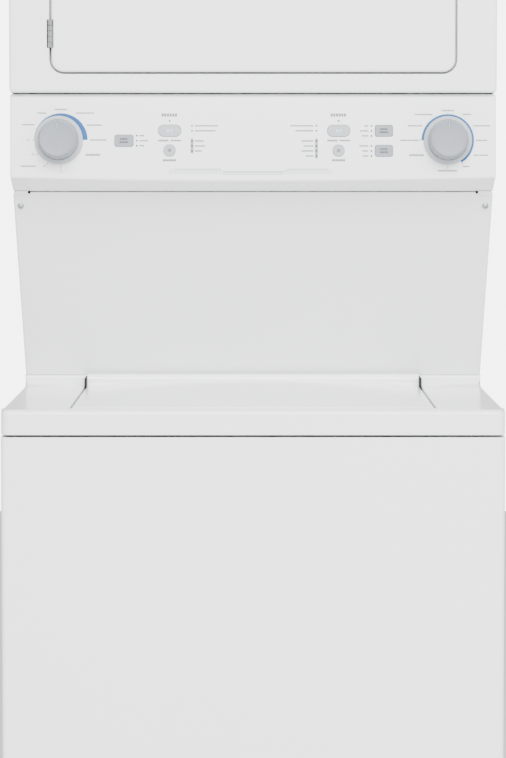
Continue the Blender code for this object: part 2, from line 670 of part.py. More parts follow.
def transmission():
    """Gearcase under the tub, with the dome that carries the tub on the base pan."""
    bore = SHAFT + 0.0006
    floor = FOOT_HEIGHT + BASE_PAN_WALL + TOUCH
    case_low = PULLEY_Z + BELT_WIDE / 2 + 0.008
    top = TUB_BASE - TOUCH
    ring("transmission", 0.060, bore, case_low, top, ALUMINIUM, at=(0, TUB_Y, 0), steps=24)
    profile = [(0.085, top - 0.050), (0.225, floor + 0.070), (0.245, floor), (0.230, floor),
               (0.212, floor + 0.062), (0.080, top - 0.062), (0.0605, top - 0.062),
               (0.0605, top - 0.050)]
    dome = turned("suspension_dome", profile, ZINC, at=(0, TUB_Y, 0), steps=24, closed=True)
    x, y = WASHER_MOTOR_OFFSET
    window = plate("dome_window", "XY", loop_round((x, y, WASHER_MOTOR_RADIUS + 0.010),
                   (0, 0, 0.050), 0.0, 16), floor + 0.040, top - 0.070, ZINC, cutter=True)
    window.location.y += TUB_Y
    cut(dome, window)


def washer_motor():
    x, y = WASHER_MOTOR_OFFSET[0], TUB_Y + WASHER_MOTOR_OFFSET[1]
    low = PULLEY_Z + BELT_WIDE / 2 + 0.010
    can = turned("washer_motor", [(WASHER_MOTOR_RADIUS, low + 0.130), (WASHER_MOTOR_RADIUS, low),
                 (0.0076, low), (0.0076, low + 0.130)], ALUMINIUM, at=(x, y, 0), steps=24, closed=True)
    bracket = box("motor_bracket", (x + 0.045, y - 0.030, FOOT_HEIGHT + BASE_PAN_WALL + TOUCH),
                  (x + 0.075, y + 0.030, low + 0.060), ALUMINIUM, cutter=True)
    unite(can, bracket)
    half = BELT_WIDE / 2
    profile = [(0, low + 0.110), (0.007, low + 0.110), (0.007, PULLEY_Z + half + PULLEY_CHEEK),
               (WASHER_MOTOR_PULLEY + PULLEY_RIM, PULLEY_Z + half + PULLEY_CHEEK),
               (WASHER_MOTOR_PULLEY + PULLEY_RIM, PULLEY_Z + half + RUN),
               (WASHER_MOTOR_PULLEY, PULLEY_Z + half + RUN), (WASHER_MOTOR_PULLEY, PULLEY_Z - half - RUN),
               (WASHER_MOTOR_PULLEY + PULLEY_RIM, PULLEY_Z - half - RUN),
               (WASHER_MOTOR_PULLEY + PULLEY_RIM, PULLEY_Z - half - PULLEY_CHEEK),
               (0, PULLEY_Z - half - PULLEY_CHEEK)]
    turned("washer_motor_pulley", profile, ZINC, at=(x, y, 0), steps=24)
    small = (x, y, WASHER_MOTOR_PULLEY + TOUCH)
    large = (0, TUB_Y, DRIVE_PULLEY + TOUCH)
    plate("washer_belt", "XY", loop_round(large, small, BELT_THICK), PULLEY_Z - half, PULLEY_Z + half,
          DARK, holes=[loop_round(large, small, 0.0)])


def drain_pump():
    floor = FOOT_HEIGHT + BASE_PAN_WALL + TOUCH
    x, y = -0.240, 0.270
    volute = rod("drain_pump", 0.038, floor, floor + 0.034, GREY, at=(x, y, 0), steps=24)
    can = rod("pump_motor_can", 0.028, floor + 0.030, floor + 0.090, GREY, at=(x, y, 0), steps=24,
              cutter=True)
    spout = rod("pump_spout", 0.012, 0, 0.070, GREY, at=(x + 0.024, y, floor + 0.017), axis="Y",
                steps=16, cutter=True)
    unite(volute, can, spout)


# --------------------------------------------------------------------------------- neck
def lean_y(z):
    """Front of the slanted panel at a height."""
    foot, top = DECK_HEIGHT + DECK_LEDGE + TOUCH, NECK_TOP
    share = (z - foot) / (top - foot)
    return FRONT + NECK_LEAN_BASE + share * (NECK_LEAN_TOP - NECK_LEAN_BASE)


def neck():
    foot, top = DECK_HEIGHT + DECK_LEDGE + TOUCH, NECK_TOP
    slope = math.hypot(1.0, (lean_y(top) - lean_y(foot)) / (top - foot))
    skin = SHEET * slope
    deep = NECK_RETURN * slope

    def slanted(near, far, low, high):
        return [(lean_y(low) + near, low), (lean_y(low) + far, low), (lean_y(high) + far, high),
                (lean_y(high) + near, high)]

    panel = plate("neck_panel", "YZ", slanted(0, deep, foot, top), -HALF, HALF, WHITE)
    hollow = plate("neck_panel_hollow", "YZ", slanted(skin, deep + 0.02, foot - 0.01, top + 0.01),
                   -INNER, INNER, WHITE, cutter=True)
    cut(panel, hollow)
    start_y = deep + SEAM * slope
    sides = [(lean_y(foot) + start_y, foot), (BACK, foot), (BACK, top), (lean_y(top) + start_y, top)]
    frame = plate("neck_frame", "YZ", sides, -HALF, HALF, WHITE)
    # two sides and the back are one folded sheet, open towards the slanted panel
    void = box("neck_frame_void", (-INNER, FRONT, foot - 0.01), (INNER, BACK - SHEET, top + 0.01),
               WHITE, cutter=True)
    cut(frame, void)


# -------------------------------------------------------------------------------- dryer
def dryer_cabinet():
    low = CONSOLE_BASE
    front, back = DRYER_FRONT + DRYER_PAN_DEPTH + SEAM, BACK - SHEET - TOUCH
    shell = rounded(-HALF, low - 0.05, HALF, HEIGHT, DRYER_EDGE)
    wrap = plate("dryer_cabinet", "XZ", shell, front, back, WHITE)
    inside = rounded(-INNER, low - 0.10, INNER, HEIGHT - SHEET, DRYER_EDGE - SHEET)
    cut(wrap, plate("dryer_inside", "XZ", inside, front - 0.01, back + 0.01, WHITE, cutter=True),
        box("dryer_below", (-WIDTH, FRONT, low - 0.20), (WIDTH, BACK + 0.1, low), WHITE, cutter=True),
        # the console's ends reach the cabinet's sides, which start behind it
        box("console_notch", (-WIDTH, FRONT, low - 0.10), (WIDTH, CONSOLE_BACK + SEAM,
            CONSOLE_TOP + SEAM), WHITE, cutter=True))


def access_outline(grow, steps=5):
    return rounded(-ACCESS_HALF - grow, ACCESS_BASE - grow, ACCESS_HALF + grow, ACCESS_TOP + grow,
                   ACCESS_CORNER + grow, steps)


def door_outline(grow):
    return rounded(DOOR_LEFT - grow, DOOR_BASE - grow, DOOR_RIGHT + grow, DOOR_TOP + grow,
                   DOOR_CORNER + grow)


def dryer_front():
    """Front panel: sunk pocket for the door, round-cornered way in, collar back to the drum."""
    low, back = CONSOLE_TOP + SEAM, DRYER_FRONT + DRYER_PAN_DEPTH
    face = rounded(-HALF, low, HALF, HEIGHT, DRYER_EDGE)
    room = DOOR_GAP / 2
    panel = plate("dryer_front_panel", "XZ", face, DRYER_FRONT, back, WHITE)
    behind = plate("front_behind", "XZ", inset(face, SHEET), DRYER_FRONT + SHEET, back + 0.02, WHITE,
                   holes=[door_outline(room + SHEET)], cutter=True)
    pocket = plate("door_pocket", "XZ", door_outline(room), DRYER_FRONT - 0.02, POCKET_FLOOR, WHITE,
                   cutter=True)
    back_pocket = plate("pocket_back", "XZ", door_outline(room), POCKET_FLOOR + SHEET, back + 0.02,
                        WHITE, cutter=True)
    way_in = plate("way_in", "XZ", access_outline(0.0), DRYER_FRONT - 0.02, back + 0.02, WHITE,
                   cutter=True)
    collar = plate("access_collar", "XZ", access_outline(0.0020), POCKET_FLOOR + SHEET / 2,
                   COLLAR_BACK, WHITE, holes=[access_outline(0.0005)], cutter=True)
    lint_slot = box("lint_slot", (-LINT_HALF - RUN, LINT_Y - LINT_THICK / 2 - RUN, ACCESS_BASE - 0.02),
                    (LINT_HALF + RUN, LINT_Y + LINT_THICK / 2 + RUN, ACCESS_BASE + 0.01), WHITE,
                    cutter=True)
    # room beside the hinge barrels and for the catch
    tools = [behind, pocket, back_pocket, way_in]
    for k, z in enumerate(hinge_heights()):
        tools.append(box("hinge_room_%d" % k,
                         (DOOR_LEFT - HINGE_RADIUS - HINGE_ROOM, DRYER_FRONT - 0.01,
                          z - HINGE_LENGTH / 2 - HINGE_END_ROOM),
                         (DOOR_LEFT + 0.0005, DRYER_FRONT + HINGE_RADIUS + HINGE_ROOM,
                          z + HINGE_LENGTH / 2 + HINGE_END_ROOM), WHITE, cutter=True))
    cut(panel, *tools)
    unite(panel, collar)
    cut(panel, lint_slot)


def hinge_heights():
    return HINGE_LOW, DOOR_TOP + DOOR_BASE - HINGE_LOW


def door_hinges():
    """Two five-knuckle butt hinges: odd knuckles on the panel leaf, even ones on the door leaf."""
    pitch = HINGE_LENGTH / KNUCKLES
    thin = 0.0007
    for level, z in zip(("lower", "upper"), hinge_heights()):
        low = z - HINGE_LENGTH / 2
        for side, first in (("panel", 0), ("door", 1)):
            rolls = []
            for k in range(first, KNUCKLES, 2):
                rolls.append(rod("knuckle_%s_%s_%d" % (level, side, k), HINGE_RADIUS,
                                 low + k * pitch + 0.00015, low + (k + 1) * pitch - 0.00015, STEEL,
                                 at=(DOOR_LEFT, DRYER_FRONT, 0), steps=14, cutter=True))
            start_y = DRYER_FRONT + 0.0010
            end_y = DRYER_FRONT + HINGE_LEAF
            x = DOOR_LEFT - 0.0005 - thin if side == "panel" else DOOR_LEFT + 0.0003
            leaf = box("hinge_%s_%s_leaf" % (level, side), (x, start_y, low + 0.0002),
                       (x + thin, end_y, low + HINGE_LENGTH - 0.0002), STEEL)
            gaps = []
            for k in range(1 - first, KNUCKLES, 2):
                gaps.append(box("leaf_gap_%s_%s_%d" % (level, side, k),
                                (x - 0.01, DRYER_FRONT - 0.01, low + k * pitch - 0.0002),
                                (x + 0.01, DRYER_FRONT + HINGE_RADIUS + 0.0008,
                                 low + (k + 1) * pitch + 0.0002), STEEL, cutter=True))
            cut(leaf, *gaps)
            unite(leaf, *rolls)


def dryer_door():
    """Door of two pans: painted skin outside, liner with its raised plug inside."""
    back = DRYER_FRONT + DOOR_THICK
    room = DOOR_GAP / 2
    skin = plate("dryer_door_skin", "XZ", door_outline(-room), DRYER_FRONT, back, WHITE)
    hollow = plate("door_hollow", "XZ", door_outline(-room - SHEET), DRYER_FRONT + SHEET, back + 0.01,
                   WHITE, cutter=True)
    tools = [hollow]
    edge = DOOR_RIGHT - room - GRIP_FROM_EDGE
    grip_low, grip_high = GRIP_Z - GRIP_HEIGHT / 2, GRIP_Z + GRIP_HEIGHT / 2
    mouth = rounded(edge - GRIP_WIDTH, grip_low, edge, grip_high, 0.008)
    tools.append(plate("grip_mouth", "XZ", mouth, DRYER_FRONT - 0.01, DRYER_FRONT + SHEET * 2, WHITE,
                       cutter=True))
    for k, z in enumerate(hinge_heights()):
        tools.append(box("door_hinge_room_%d" % k, (DOOR_LEFT - 0.005, DRYER_FRONT - 0.01,
                         z - HINGE_LENGTH / 2 - HINGE_END_ROOM), (DOOR_LEFT + HINGE_RADIUS + HINGE_ROOM,
                         DRYER_FRONT + HINGE_RADIUS + HINGE_ROOM,
                         z + HINGE_LENGTH / 2 + HINGE_END_ROOM), WHITE,
                         cutter=True))
    cut(skin, *tools)

    cup = plate("dryer_door_grip", "XZ", inset(mouth, TOUCH), DRYER_FRONT, DRYER_FRONT + GRIP_DEPTH,
                GREY)
    cut(cup, plate("grip_cup", "XZ", inset(mouth, 0.0015), DRYER_FRONT - 0.01,
                   DRYER_FRONT + GRIP_DEPTH - 0.0015, GREY, cutter=True))

    plug_back = POCKET_FLOOR + DOOR_PLUG_REACH - POCKET_DEPTH + DOOR_THICK
    liner_front = back - 0.0040
    liner = plate("dryer_door_liner", "XZ", door_outline(-room - SHEET - TOUCH), liner_front,
                  back - 0.0020, WHITE)
    plug = plate("door_plug", "XZ", access_outline(-DOOR_PLUG_GAP), liner_front + 0.0005, plug_back,
                 WHITE, cutter=True)
    dish = plate("door_dish", "XZ", access_outline(-DOOR_PLUG_GAP - 0.002), liner_front - 0.01,
                 plug_back - 0.002, WHITE, cutter=True)
    unite(liner, plug)
    cut(liner, dish)
    plate("dryer_door_seal", "XZ", access_outline(0.016), back - 0.0020 + TOUCH,
          POCKET_FLOOR - 0.0006, DARK, holes=[access_outline(0.006)])
    strike_x = DOOR_RIGHT - 0.030
    strike = box("door_strike", (strike_x - 0.003, back - 0.0030, GRIP_Z - 0.014),
                 (strike_x + 0.003, POCKET_FLOOR + 0.0080, GRIP_Z + 0.014), WHITE, cutter=True)
    unite(liner, strike)
    catch = box("dryer_door_catch", (strike_x - 0.012, POCKET_FLOOR + SHEET + TOUCH, GRIP_Z - 0.024),
                (strike_x + 0.012, POCKET_FLOOR + SHEET + 0.014, GRIP_Z + 0.024), GREY)
    well = box("catch_well", (strike_x - 0.006, POCKET_FLOOR - 0.01, GRIP_Z - 0.018),
               (strike_x + 0.006, POCKET_FLOOR + SHEET + 0.011, GRIP_Z + 0.018), GREY, cutter=True)
    cut(catch, well)
    cut(bpy.data.objects["dryer_front_panel"], well)


def drum():
    """Drum shell with its rear wall and stub shaft, and three lifting baffles."""
    rear, front = DRUM_BACK, DRUM_FRONT
    profile = [(0, rear + 0.028), (DRUM_SHAFT, rear + 0.028), (DRUM_SHAFT, rear), (DRUM_RADIUS, rear),
               (DRUM_RADIUS, front + 0.018), (DRUM_LIP, front), (DRUM_LIP - SHEET, front + 0.001),
               (DRUM_RADIUS - SHEET, front + 0.019), (DRUM_RADIUS - SHEET, rear - SHEET),
               (0, rear - SHEET)]
    shell = turned("dryer_drum", profile, WHITE, at=(0, 0, DRUM_Z), axis="Y", steps=DRUM_STEPS)
    # each baffle's foot is centred on a flat of the drum and ends inside its wall
    foot = DRUM_RADIUS * math.cos(math.pi / DRUM_STEPS) - SHEET / 2
    arc = [(-BAFFLE_HALF, -foot), (BAFFLE_HALF, -foot)]
    crest = -foot + BAFFLE_RISE
    baffles = []
    for k in range(3):
        fin = plate("drum_baffle_%d" % (k + 1), "XZ", arc + [(0.008, crest), (-0.008, crest)],
                    front + 0.035, rear - 0.012, LIGHT_GREY, cutter=True)
        turn = Matrix.Rotation(2 * math.pi * k / 3, 4, "Y")
        fin.matrix_world = Matrix.Translation((0, 0, DRUM_Z)) @ turn @ fin.matrix_world
        baffles.append(fin)
    unite(shell, *baffles)


def bulkhead():
    """Front bulkhead: the plate round the collar that the drum's lip runs against."""
    back = DRUM_FRONT - BULKHEAD_GAP
    sheet = plate("front_bulkhead", "XZ", rounded(-INNER + TOUCH, 1.395, INNER - TOUCH,
                  HEIGHT - SHEET - TOUCH, DRYER_EDGE - SHEET), back - SHEET, back, ZINC,
                  holes=[access_outline(0.0)])
    rim = turned("bulkhead_rim", [(DRUM_LIP - 0.008, back + 0.022), (DRUM_LIP - 0.008, back - SHEET / 2),
                 (DRUM_LIP - 0.010, back - SHEET / 2), (DRUM_LIP - 0.010, back + 0.022)], ZINC,
                 at=(0, 0, DRUM_Z), axis="Y", steps=28, closed=True, cutter=True)
    unite(sheet, rim)


def dryer_rear():
    hole_room = 0.0015
    panel = plate("dryer_rear_panel", "XZ", rounded(-INNER + TOUCH, CONSOLE_BASE + 0.004,
                  INNER - TOUCH, HEIGHT - SHEET - TOUCH, DRYER_EDGE - SHEET), BACK - SHEET, BACK, WHITE,
                  holes=[circle(*EXHAUST, EXHAUST_RADIUS + hole_room),
                         circle(*GLAND, GLAND_RADIUS + TOUCH, 20)])
    boss = turned("rear_bearing_boss", [(0.030, BACK - SHEET / 2), (0.030, DRUM_BACK + 0.010),
                  (DRUM_SHAFT + 0.0005, DRUM_BACK + 0.010), (DRUM_SHAFT + 0.0005, BACK - SHEET / 2)],
                  ZINC, at=(0, 0, DRUM_Z), axis="Y", steps=24, closed=True, cutter=True)
    unite(panel, boss)
    turned("power_inlet_gland", [(GLAND_RADIUS + 0.004, DEPTH / 2 - 0.002),
           (GLAND_RADIUS + 0.004, BACK + TOUCH), (GLAND_RADIUS, BACK + TOUCH),
           (GLAND_RADIUS, BACK - 0.014), (0.0070, BACK - 0.014), (0.0070, DEPTH / 2 - 0.002)], DARK,
           at=(GLAND[0], 0, GLAND[1]), axis="Y", steps=20, closed=True)
    heater = box("heater_housing", (-0.130, DRUM_BACK + 0.007, 1.310),
                 (0.130, BACK - SHEET - TOUCH, 1.540), ZINC)
    cut(heater, box("heater_hollow", (-0.128, DRUM_BACK, 1.312), (0.128, BACK - SHEET - TOUCH - 0.002,
        1.538), ZINC, cutter=True))


def dryer_base():
    front, back = CONSOLE_BACK + TOUCH + SHEET + TOUCH, BACK - SHEET - TOUCH
    edge = INNER - TOUCH
    low = NECK_TOP + TOUCH
    box("dryer_base_pan", (-edge, front, low), (edge, back, low + 0.003), ZINC)


def control_plate():
    """Upright channel that closes the dryer's lower front and carries the console."""
    box("console_mounting_plate", (-INNER + TOUCH, CONSOLE_BACK + TOUCH, CONSOLE_BASE + 0.003),
        (INNER - TOUCH, CONSOLE_BACK + TOUCH + SHEET, CONSOLE_TOP - 0.003), ZINC)


def dryer_drive():
    x, z = DRYER_MOTOR
    pan_top = NECK_TOP + TOUCH + 0.003
    front, back = -0.100, DRYER_BELT_Y - 0.030
    bore = 0.0066
    motor = turned("dryer_motor", [(DRYER_MOTOR_RADIUS, back), (DRYER_MOTOR_RADIUS, front),
                   (bore, front), (bore, back)], ALUMINIUM, at=(x, 0, z), axis="Y", steps=24,
                   closed=True)
    unite(motor, box("motor_cradle", (x - 0.040, front + 0.020, pan_top + TOUCH),
                     (x + 0.040, back - 0.020, z - 0.035), ALUMINIUM, cutter=True))
    half = BELT_WIDE / 2
    y = DRYER_BELT_Y
    blower_back = DRUM_FRONT - BULKHEAD_GAP - SHEET - 0.002
    shaft = 0.006
    turned("dryer_motor_pulley", [(0, y + half + 0.004), (DRYER_PULLEY + 0.003, y + half + 0.004),
           (DRYER_PULLEY + 0.003, y + half + RUN), (DRYER_PULLEY, y + half + RUN),
           (DRYER_PULLEY, y - half - RUN), (DRYER_PULLEY + 0.003, y - half - RUN),
           (DRYER_PULLEY + 0.003, y - half - 0.004), (shaft, y - half - 0.004),
           (shaft, blower_back - BLOWER_DEPTH), (0, blower_back - BLOWER_DEPTH)], ZINC,
           at=(x, 0, z), axis="Y", steps=20)
    large = (0, DRUM_Z, DRUM_RADIUS + TOUCH)
    small = (x, z, DRYER_PULLEY + TOUCH)
    plate("dryer_belt", "XZ", loop_round(large, small, BELT_THICK * 0.75, 44), y - half, y + half,
          DARK, holes=[loop_round(large, small, 0.0, 44)])

    wheel_low, wheel_high = blower_back - 0.003 - BLOWER_DEPTH, blower_back - 0.003
    hub = shaft + TOUCH
    wheel = turned("blower_wheel", [(BLOWER_RADIUS, wheel_high), (BLOWER_RADIUS, wheel_high - 0.003),
                   (0.016, wheel_high - 0.003), (0.016, wheel_low + 0.003), (hub, wheel_low + 0.003),
                   (hub, wheel_high)], LIGHT_GREY, at=(x, 0, z), axis="Y", steps=24, closed=True)
    blades = []
    for k in range(10):
        turn = 2 * math.pi * k / 10
        blade = box("blower_blade_%d" % k, (0.034, wheel_low, -0.001), (BLOWER_RADIUS - 0.001,
                    wheel_high - 0.001, 0.001), LIGHT_GREY, cutter=True)
        blade.matrix_world = Matrix.Translation((x, 0, z)) @ Matrix.Rotation(turn, 4, "Y")
        blades.append(blade)
    unite(wheel, *blades)

    low, high = CONSOLE_BACK + 2 * TOUCH + SHEET, blower_back
    chamber = (x, z, BLOWER_RADIUS + 0.006)
    outlet = (*EXHAUST, EXHAUST_RADIUS + 0.004)
    housing = plate("blower_housing", "XZ", loop_round(chamber, outlet, 0.0, 20), low, high, ZINC)
    hollow = plate("blower_hollow", "XZ", loop_round(chamber, outlet, -SHEET, 20), low + SHEET,
                   high - SHEET, ZINC, cutter=True)
    shaft_hole = rod("blower_shaft_hole", shaft + 0.002, high - 0.01, high + 0.01, ZINC, at=(x, 0, z),
                     axis="Y", steps=16, cutter=True)
    way_out = rod("blower_outlet", EXHAUST_RADIUS - 0.0025, high - 0.01, high + 0.01, ZINC,
                  at=(EXHAUST[0], 0, EXHAUST[1]), axis="Y", steps=32, cutter=True)
    inlet = box("blower_inlet", (-LINT_HALF + 0.02, low + 0.006, z), (LINT_HALF - 0.02,
                high - 0.006, 1.45), ZINC, cutter=True)
    cut(housing, hollow, shaft_hole, way_out, inlet)
    wall = 0.0012
    ring("exhaust_duct", EXHAUST_RADIUS, EXHAUST_RADIUS - wall, high + TOUCH, DEPTH / 2, ZINC,
         at=(EXHAUST[0], 0, EXHAUST[1]), axis="Y", steps=32)


def lint_filter():
    """Lint screen that lifts out of the sill, and the duct it sits in."""
    low, high = ACCESS_BASE - LINT_DEEP, ACCESS_BASE + LINT_GRIP
    near, far = LINT_Y - LINT_THICK / 2, LINT_Y + LINT_THICK / 2
    screen = box("lint_filter", (-LINT_HALF, near, low), (LINT_HALF, far, high), LIGHT_GREY, bevel=0.001)
    cells = []
    for k in range(3):
        mid = (k - 1) * 0.076
        cells.append(box("lint_window_%d" % k, (mid - 0.034, near - 0.01, low + 0.008),
                         (mid + 0.034, far - 0.002, high - 0.022), LIGHT_GREY, cutter=True))
    cut(screen, *cells)
    wall = LINT_DUCT_WALL
    top = ACCESS_BASE - 0.0026
    duct = box("lint_duct", (-LINT_HALF - 0.006, near - 0.006, CONSOLE_TOP + 0.0035),
               (LINT_HALF + 0.006, far + 0.006, top), ZINC)
    inside = box("lint_duct_inside", (-LINT_HALF - 0.006 + wall, near - 0.006 + wall,
                 CONSOLE_TOP - 0.01), (LINT_HALF + 0.006 - wall, far + 0.006 - wall, top + 0.01), ZINC,
                 cutter=True)
    cut(duct, inside)


# ------------------------------------------------------------------------------ console
FACE_POINT = Vector((0.0, CONSOLE_FACE_Y, CONSOLE_MID))


def face_y(z):
    """Front of the console's tipped face at a height."""
    return CONSOLE_FACE_Y + math.tan(CONSOLE_TILT) * (z - CONSOLE_MID)


def console():
    """Moulded console: tipped face, rolled top edge, slanting band underneath."""
    roll_start = CONSOLE_TOP - CONSOLE_ROLL
    y0 = face_y(roll_start)
    side = [(CONSOLE_BACK, CONSOLE_TOP), (y0 + CONSOLE_ROLL, CONSOLE_TOP)]
    for k in range(1, 4):
        turn = math.radians(90 + 90 * k / 4)
        side.append((y0 + CONSOLE_ROLL + CONSOLE_ROLL * math.cos(turn),
                     roll_start + CONSOLE_ROLL * math.sin(turn)))
    side += [(y0, roll_start), (face_y(CONSOLE_FACE_BASE), CONSOLE_FACE_BASE),
             (FRONT + CONSOLE_FOOT_BACK, CONSOLE_BASE), (CONSOLE_BACK, CONSOLE_BASE)]
    half = HALF - TOUCH
    shell = plate("console", "YZ", side, -half, half, CONSOLE_WHITE)
    inner = inset(side, PLASTIC)
    inner = [(y + 0.02 if abs(y - (CONSOLE_BACK - PLASTIC)) < 1e-4 else y, z) for y, z in inner]
    tools = [plate("console_hollow", "YZ", inner, -half + PLASTIC, half - PLASTIC, CONSOLE_WHITE,
                   cutter=True)]
    for name, (x, z, wide, high, corner) in BUTTONS.items():
        hole = plate(name + "_hole", "XZ", rounded(x - wide - BUTTON_RUN, CONSOLE_MID - high - BUTTON_RUN,
                     x + wide + BUTTON_RUN, CONSOLE_MID + high + BUTTON_RUN, corner, 3),
                     CONSOLE_FACE_Y - 0.01, CONSOLE_FACE_Y + 0.010, CONSOLE_WHITE, cutter=True)
        tools.append(stand_on_face(hole, z))
    for name, (x, z) in KNOBS.items():
        hole = rod(name + "_hole", KNOB_SHAFT + 0.001, -0.010, 0.010, CONSOLE_WHITE, axis="Y", steps=16,
                   at=(x, CONSOLE_FACE_Y, CONSOLE_MID), cutter=True)
        tools.append(stand_on_face(hole, z))
    cut(shell, *tools)


def stand_on_face(ob, z):
    """Tip an object made at the face's middle height and slide it up the face to its own."""
    lean(ob, -CONSOLE_TILT, FACE_POINT)
    rise = (z - CONSOLE_MID)
    ob.matrix_world = Matrix.Translation((0, math.tan(CONSOLE_TILT) * rise, rise)) @ ob.matrix_world
    return ob


def buttons_and_knobs():
    for name, (x, z, wide, high, corner) in BUTTONS.items():
        mat = LIGHT_GREY if "start" in name or "cancel" in name else GREY
        cap = plate(name, "XZ", rounded(x - wide, CONSOLE_MID - high, x + wide, CONSOLE_MID + high,
                    corner, 3), CONSOLE_FACE_Y - BUTTON_RAISE, CONSOLE_FACE_Y + BUTTON_STEM, mat)
        stand_on_face(cap, z)
    for name, (x, z) in KNOBS.items():
        clear = RUN
        profile = [(0, 0.014), (KNOB_SHAFT, 0.014), (KNOB_SHAFT, -clear), (KNOB_SKIRT - 0.001, -clear),
                   (KNOB_SKIRT, -clear - 0.001), (KNOB_SKIRT, -clear - KNOB_SKIRT_THICK + 0.002),
                   (KNOB_SKIRT - 0.003, -clear - KNOB_SKIRT_THICK),
                   (KNOB_CAP, -clear - KNOB_SKIRT_THICK), (KNOB_CAP - 0.0015, -KNOB_HEIGHT + 0.002),
                   (KNOB_CAP - 0.0035, -KNOB_HEIGHT), (0, -KNOB_HEIGHT)]
        knob = turned(name, profile, GREY, at=(x, CONSOLE_FACE_Y, CONSOLE_MID), axis="Y", steps=32)
        stand_on_face(knob, z)


feet()
washer_base()
washer_cabinet()
water_valve()
washer_front()
washer_deck()
washer_lid()
lid_hinge_rod()
outer_tub()
wash_basket()
agitator()
transmission()
washer_motor()
drain_pump()
neck()
dryer_cabinet()
dryer_front()
door_hinges()
dryer_door()
drum()
bulkhead()
dryer_rear()
dryer_base()
control_plate()
dryer_drive()
lint_filter()
console()
buttons_and_knobs()
print(len(PARTS.objects), "parts")
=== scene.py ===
# %% [markdown]
# # A stacked laundry centre
# A full-width washer stands on the floor and a dryer stands over it, joined by one control
# console and a slanted neck panel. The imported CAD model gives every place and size. This script
# builds the pieces that show, from pressed, moulded and turned shapes, and gives each its finish.
# The CAD nodes are loaded once and never moved. Each new piece stands where its node stands.

# %% Load the frame
import json
import math

import bmesh
import bpy
from mathutils import Matrix, Vector

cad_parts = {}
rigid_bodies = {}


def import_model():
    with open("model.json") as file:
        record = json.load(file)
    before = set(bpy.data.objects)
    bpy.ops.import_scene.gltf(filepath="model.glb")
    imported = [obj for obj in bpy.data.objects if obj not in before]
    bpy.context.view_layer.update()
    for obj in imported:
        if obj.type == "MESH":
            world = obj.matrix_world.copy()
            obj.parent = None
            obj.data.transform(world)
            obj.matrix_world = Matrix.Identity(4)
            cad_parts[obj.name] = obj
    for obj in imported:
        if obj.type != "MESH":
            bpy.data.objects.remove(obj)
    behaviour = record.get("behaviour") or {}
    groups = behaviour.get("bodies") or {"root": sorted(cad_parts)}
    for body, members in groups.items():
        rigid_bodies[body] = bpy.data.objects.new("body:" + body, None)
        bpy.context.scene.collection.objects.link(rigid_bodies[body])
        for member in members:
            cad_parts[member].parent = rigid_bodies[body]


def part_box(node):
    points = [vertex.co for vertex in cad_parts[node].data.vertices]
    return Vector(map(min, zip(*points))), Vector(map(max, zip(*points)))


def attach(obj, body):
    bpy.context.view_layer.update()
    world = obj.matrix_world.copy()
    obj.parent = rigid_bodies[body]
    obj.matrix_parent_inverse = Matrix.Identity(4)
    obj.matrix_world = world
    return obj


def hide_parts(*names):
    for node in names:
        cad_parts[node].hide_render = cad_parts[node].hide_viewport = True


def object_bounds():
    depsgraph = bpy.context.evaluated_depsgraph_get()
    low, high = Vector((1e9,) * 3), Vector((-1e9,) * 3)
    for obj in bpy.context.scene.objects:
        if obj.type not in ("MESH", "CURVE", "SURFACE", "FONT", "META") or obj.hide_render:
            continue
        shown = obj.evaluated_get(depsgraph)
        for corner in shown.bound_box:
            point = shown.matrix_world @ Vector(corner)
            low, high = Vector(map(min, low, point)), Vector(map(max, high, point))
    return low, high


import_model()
cad_low, cad_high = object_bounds()

# %% [markdown]
# ## Selecting, as by hand
# An operator acts on whatever is selected. So every step starts by deselecting all, and then a
# small test picks faces, edges or points by where they are and which way they face. The same
# three helpers do that for the whole machine: one makes an object the only selected one, one
# picks in edit mode, and one leaves edit mode again.

# %% Selection helpers
SHEET = 0.0015        # sheet steel of the cabinets, in metres
MOULDED = 0.0025      # wall of the moulded console
TINY = 1e-5


def only(ob):
    """Makes ob the one selected and active object, in object mode."""
    if bpy.context.mode != "OBJECT":
        bpy.ops.object.mode_set(mode="OBJECT")
    bpy.ops.object.select_all(action="DESELECT")
    ob.select_set(True)
    bpy.context.view_layer.objects.active = ob
    return ob


def pick(ob, kind, test=None):
    """In edit mode, selects the parts of one kind whose middle and direction pass the test."""
    only(ob)
    bpy.ops.object.mode_set(mode="EDIT")
    bpy.ops.mesh.select_mode(type=kind)
    bpy.ops.mesh.select_all(action="DESELECT")
    bm = bmesh.from_edit_mesh(ob.data)
    found = 0
    for part in {"VERT": bm.verts, "EDGE": bm.edges, "FACE": bm.faces}[kind]:
        if kind == "VERT":
            middle, way = part.co, part.normal
        elif kind == "EDGE":
            ends = part.verts[0].co, part.verts[1].co
            middle, way = (ends[0] + ends[1]) / 2, (ends[1] - ends[0]).normalized()
        else:
            middle, way = part.calc_center_median(), part.normal
        if test is None or test(middle, way):
            part.select_set(True)
            found += 1
    bm.select_flush_mode()
    bmesh.update_edit_mesh(ob.data)
    return found


def leave():
    bpy.ops.object.mode_set(mode="OBJECT")


def near(a, b, within=TINY):
    return abs(a - b) < within


# %% [markdown]
# ## Starting shapes
# Most panels start as a block at its final size and place. A moulding with the same section all
# along starts as that section: one point, extruded from corner to corner as one draws a line, then
# extruded along its length or spun round an axis. Both keep the object's origin at the world's.

# %% Blocks and sections
def add_block(name, low, high):
    """A block between two corners, with its place in its mesh."""
    low, high = Vector(low), Vector(high)
    bpy.ops.object.select_all(action="DESELECT")
    bpy.ops.mesh.primitive_cube_add(size=1, location=(low + high) / 2, scale=high - low)
    bpy.ops.object.transform_apply(location=True, rotation=True, scale=True)
    ob = bpy.context.object
    ob.name = name
    ob.data.name = name
    return ob


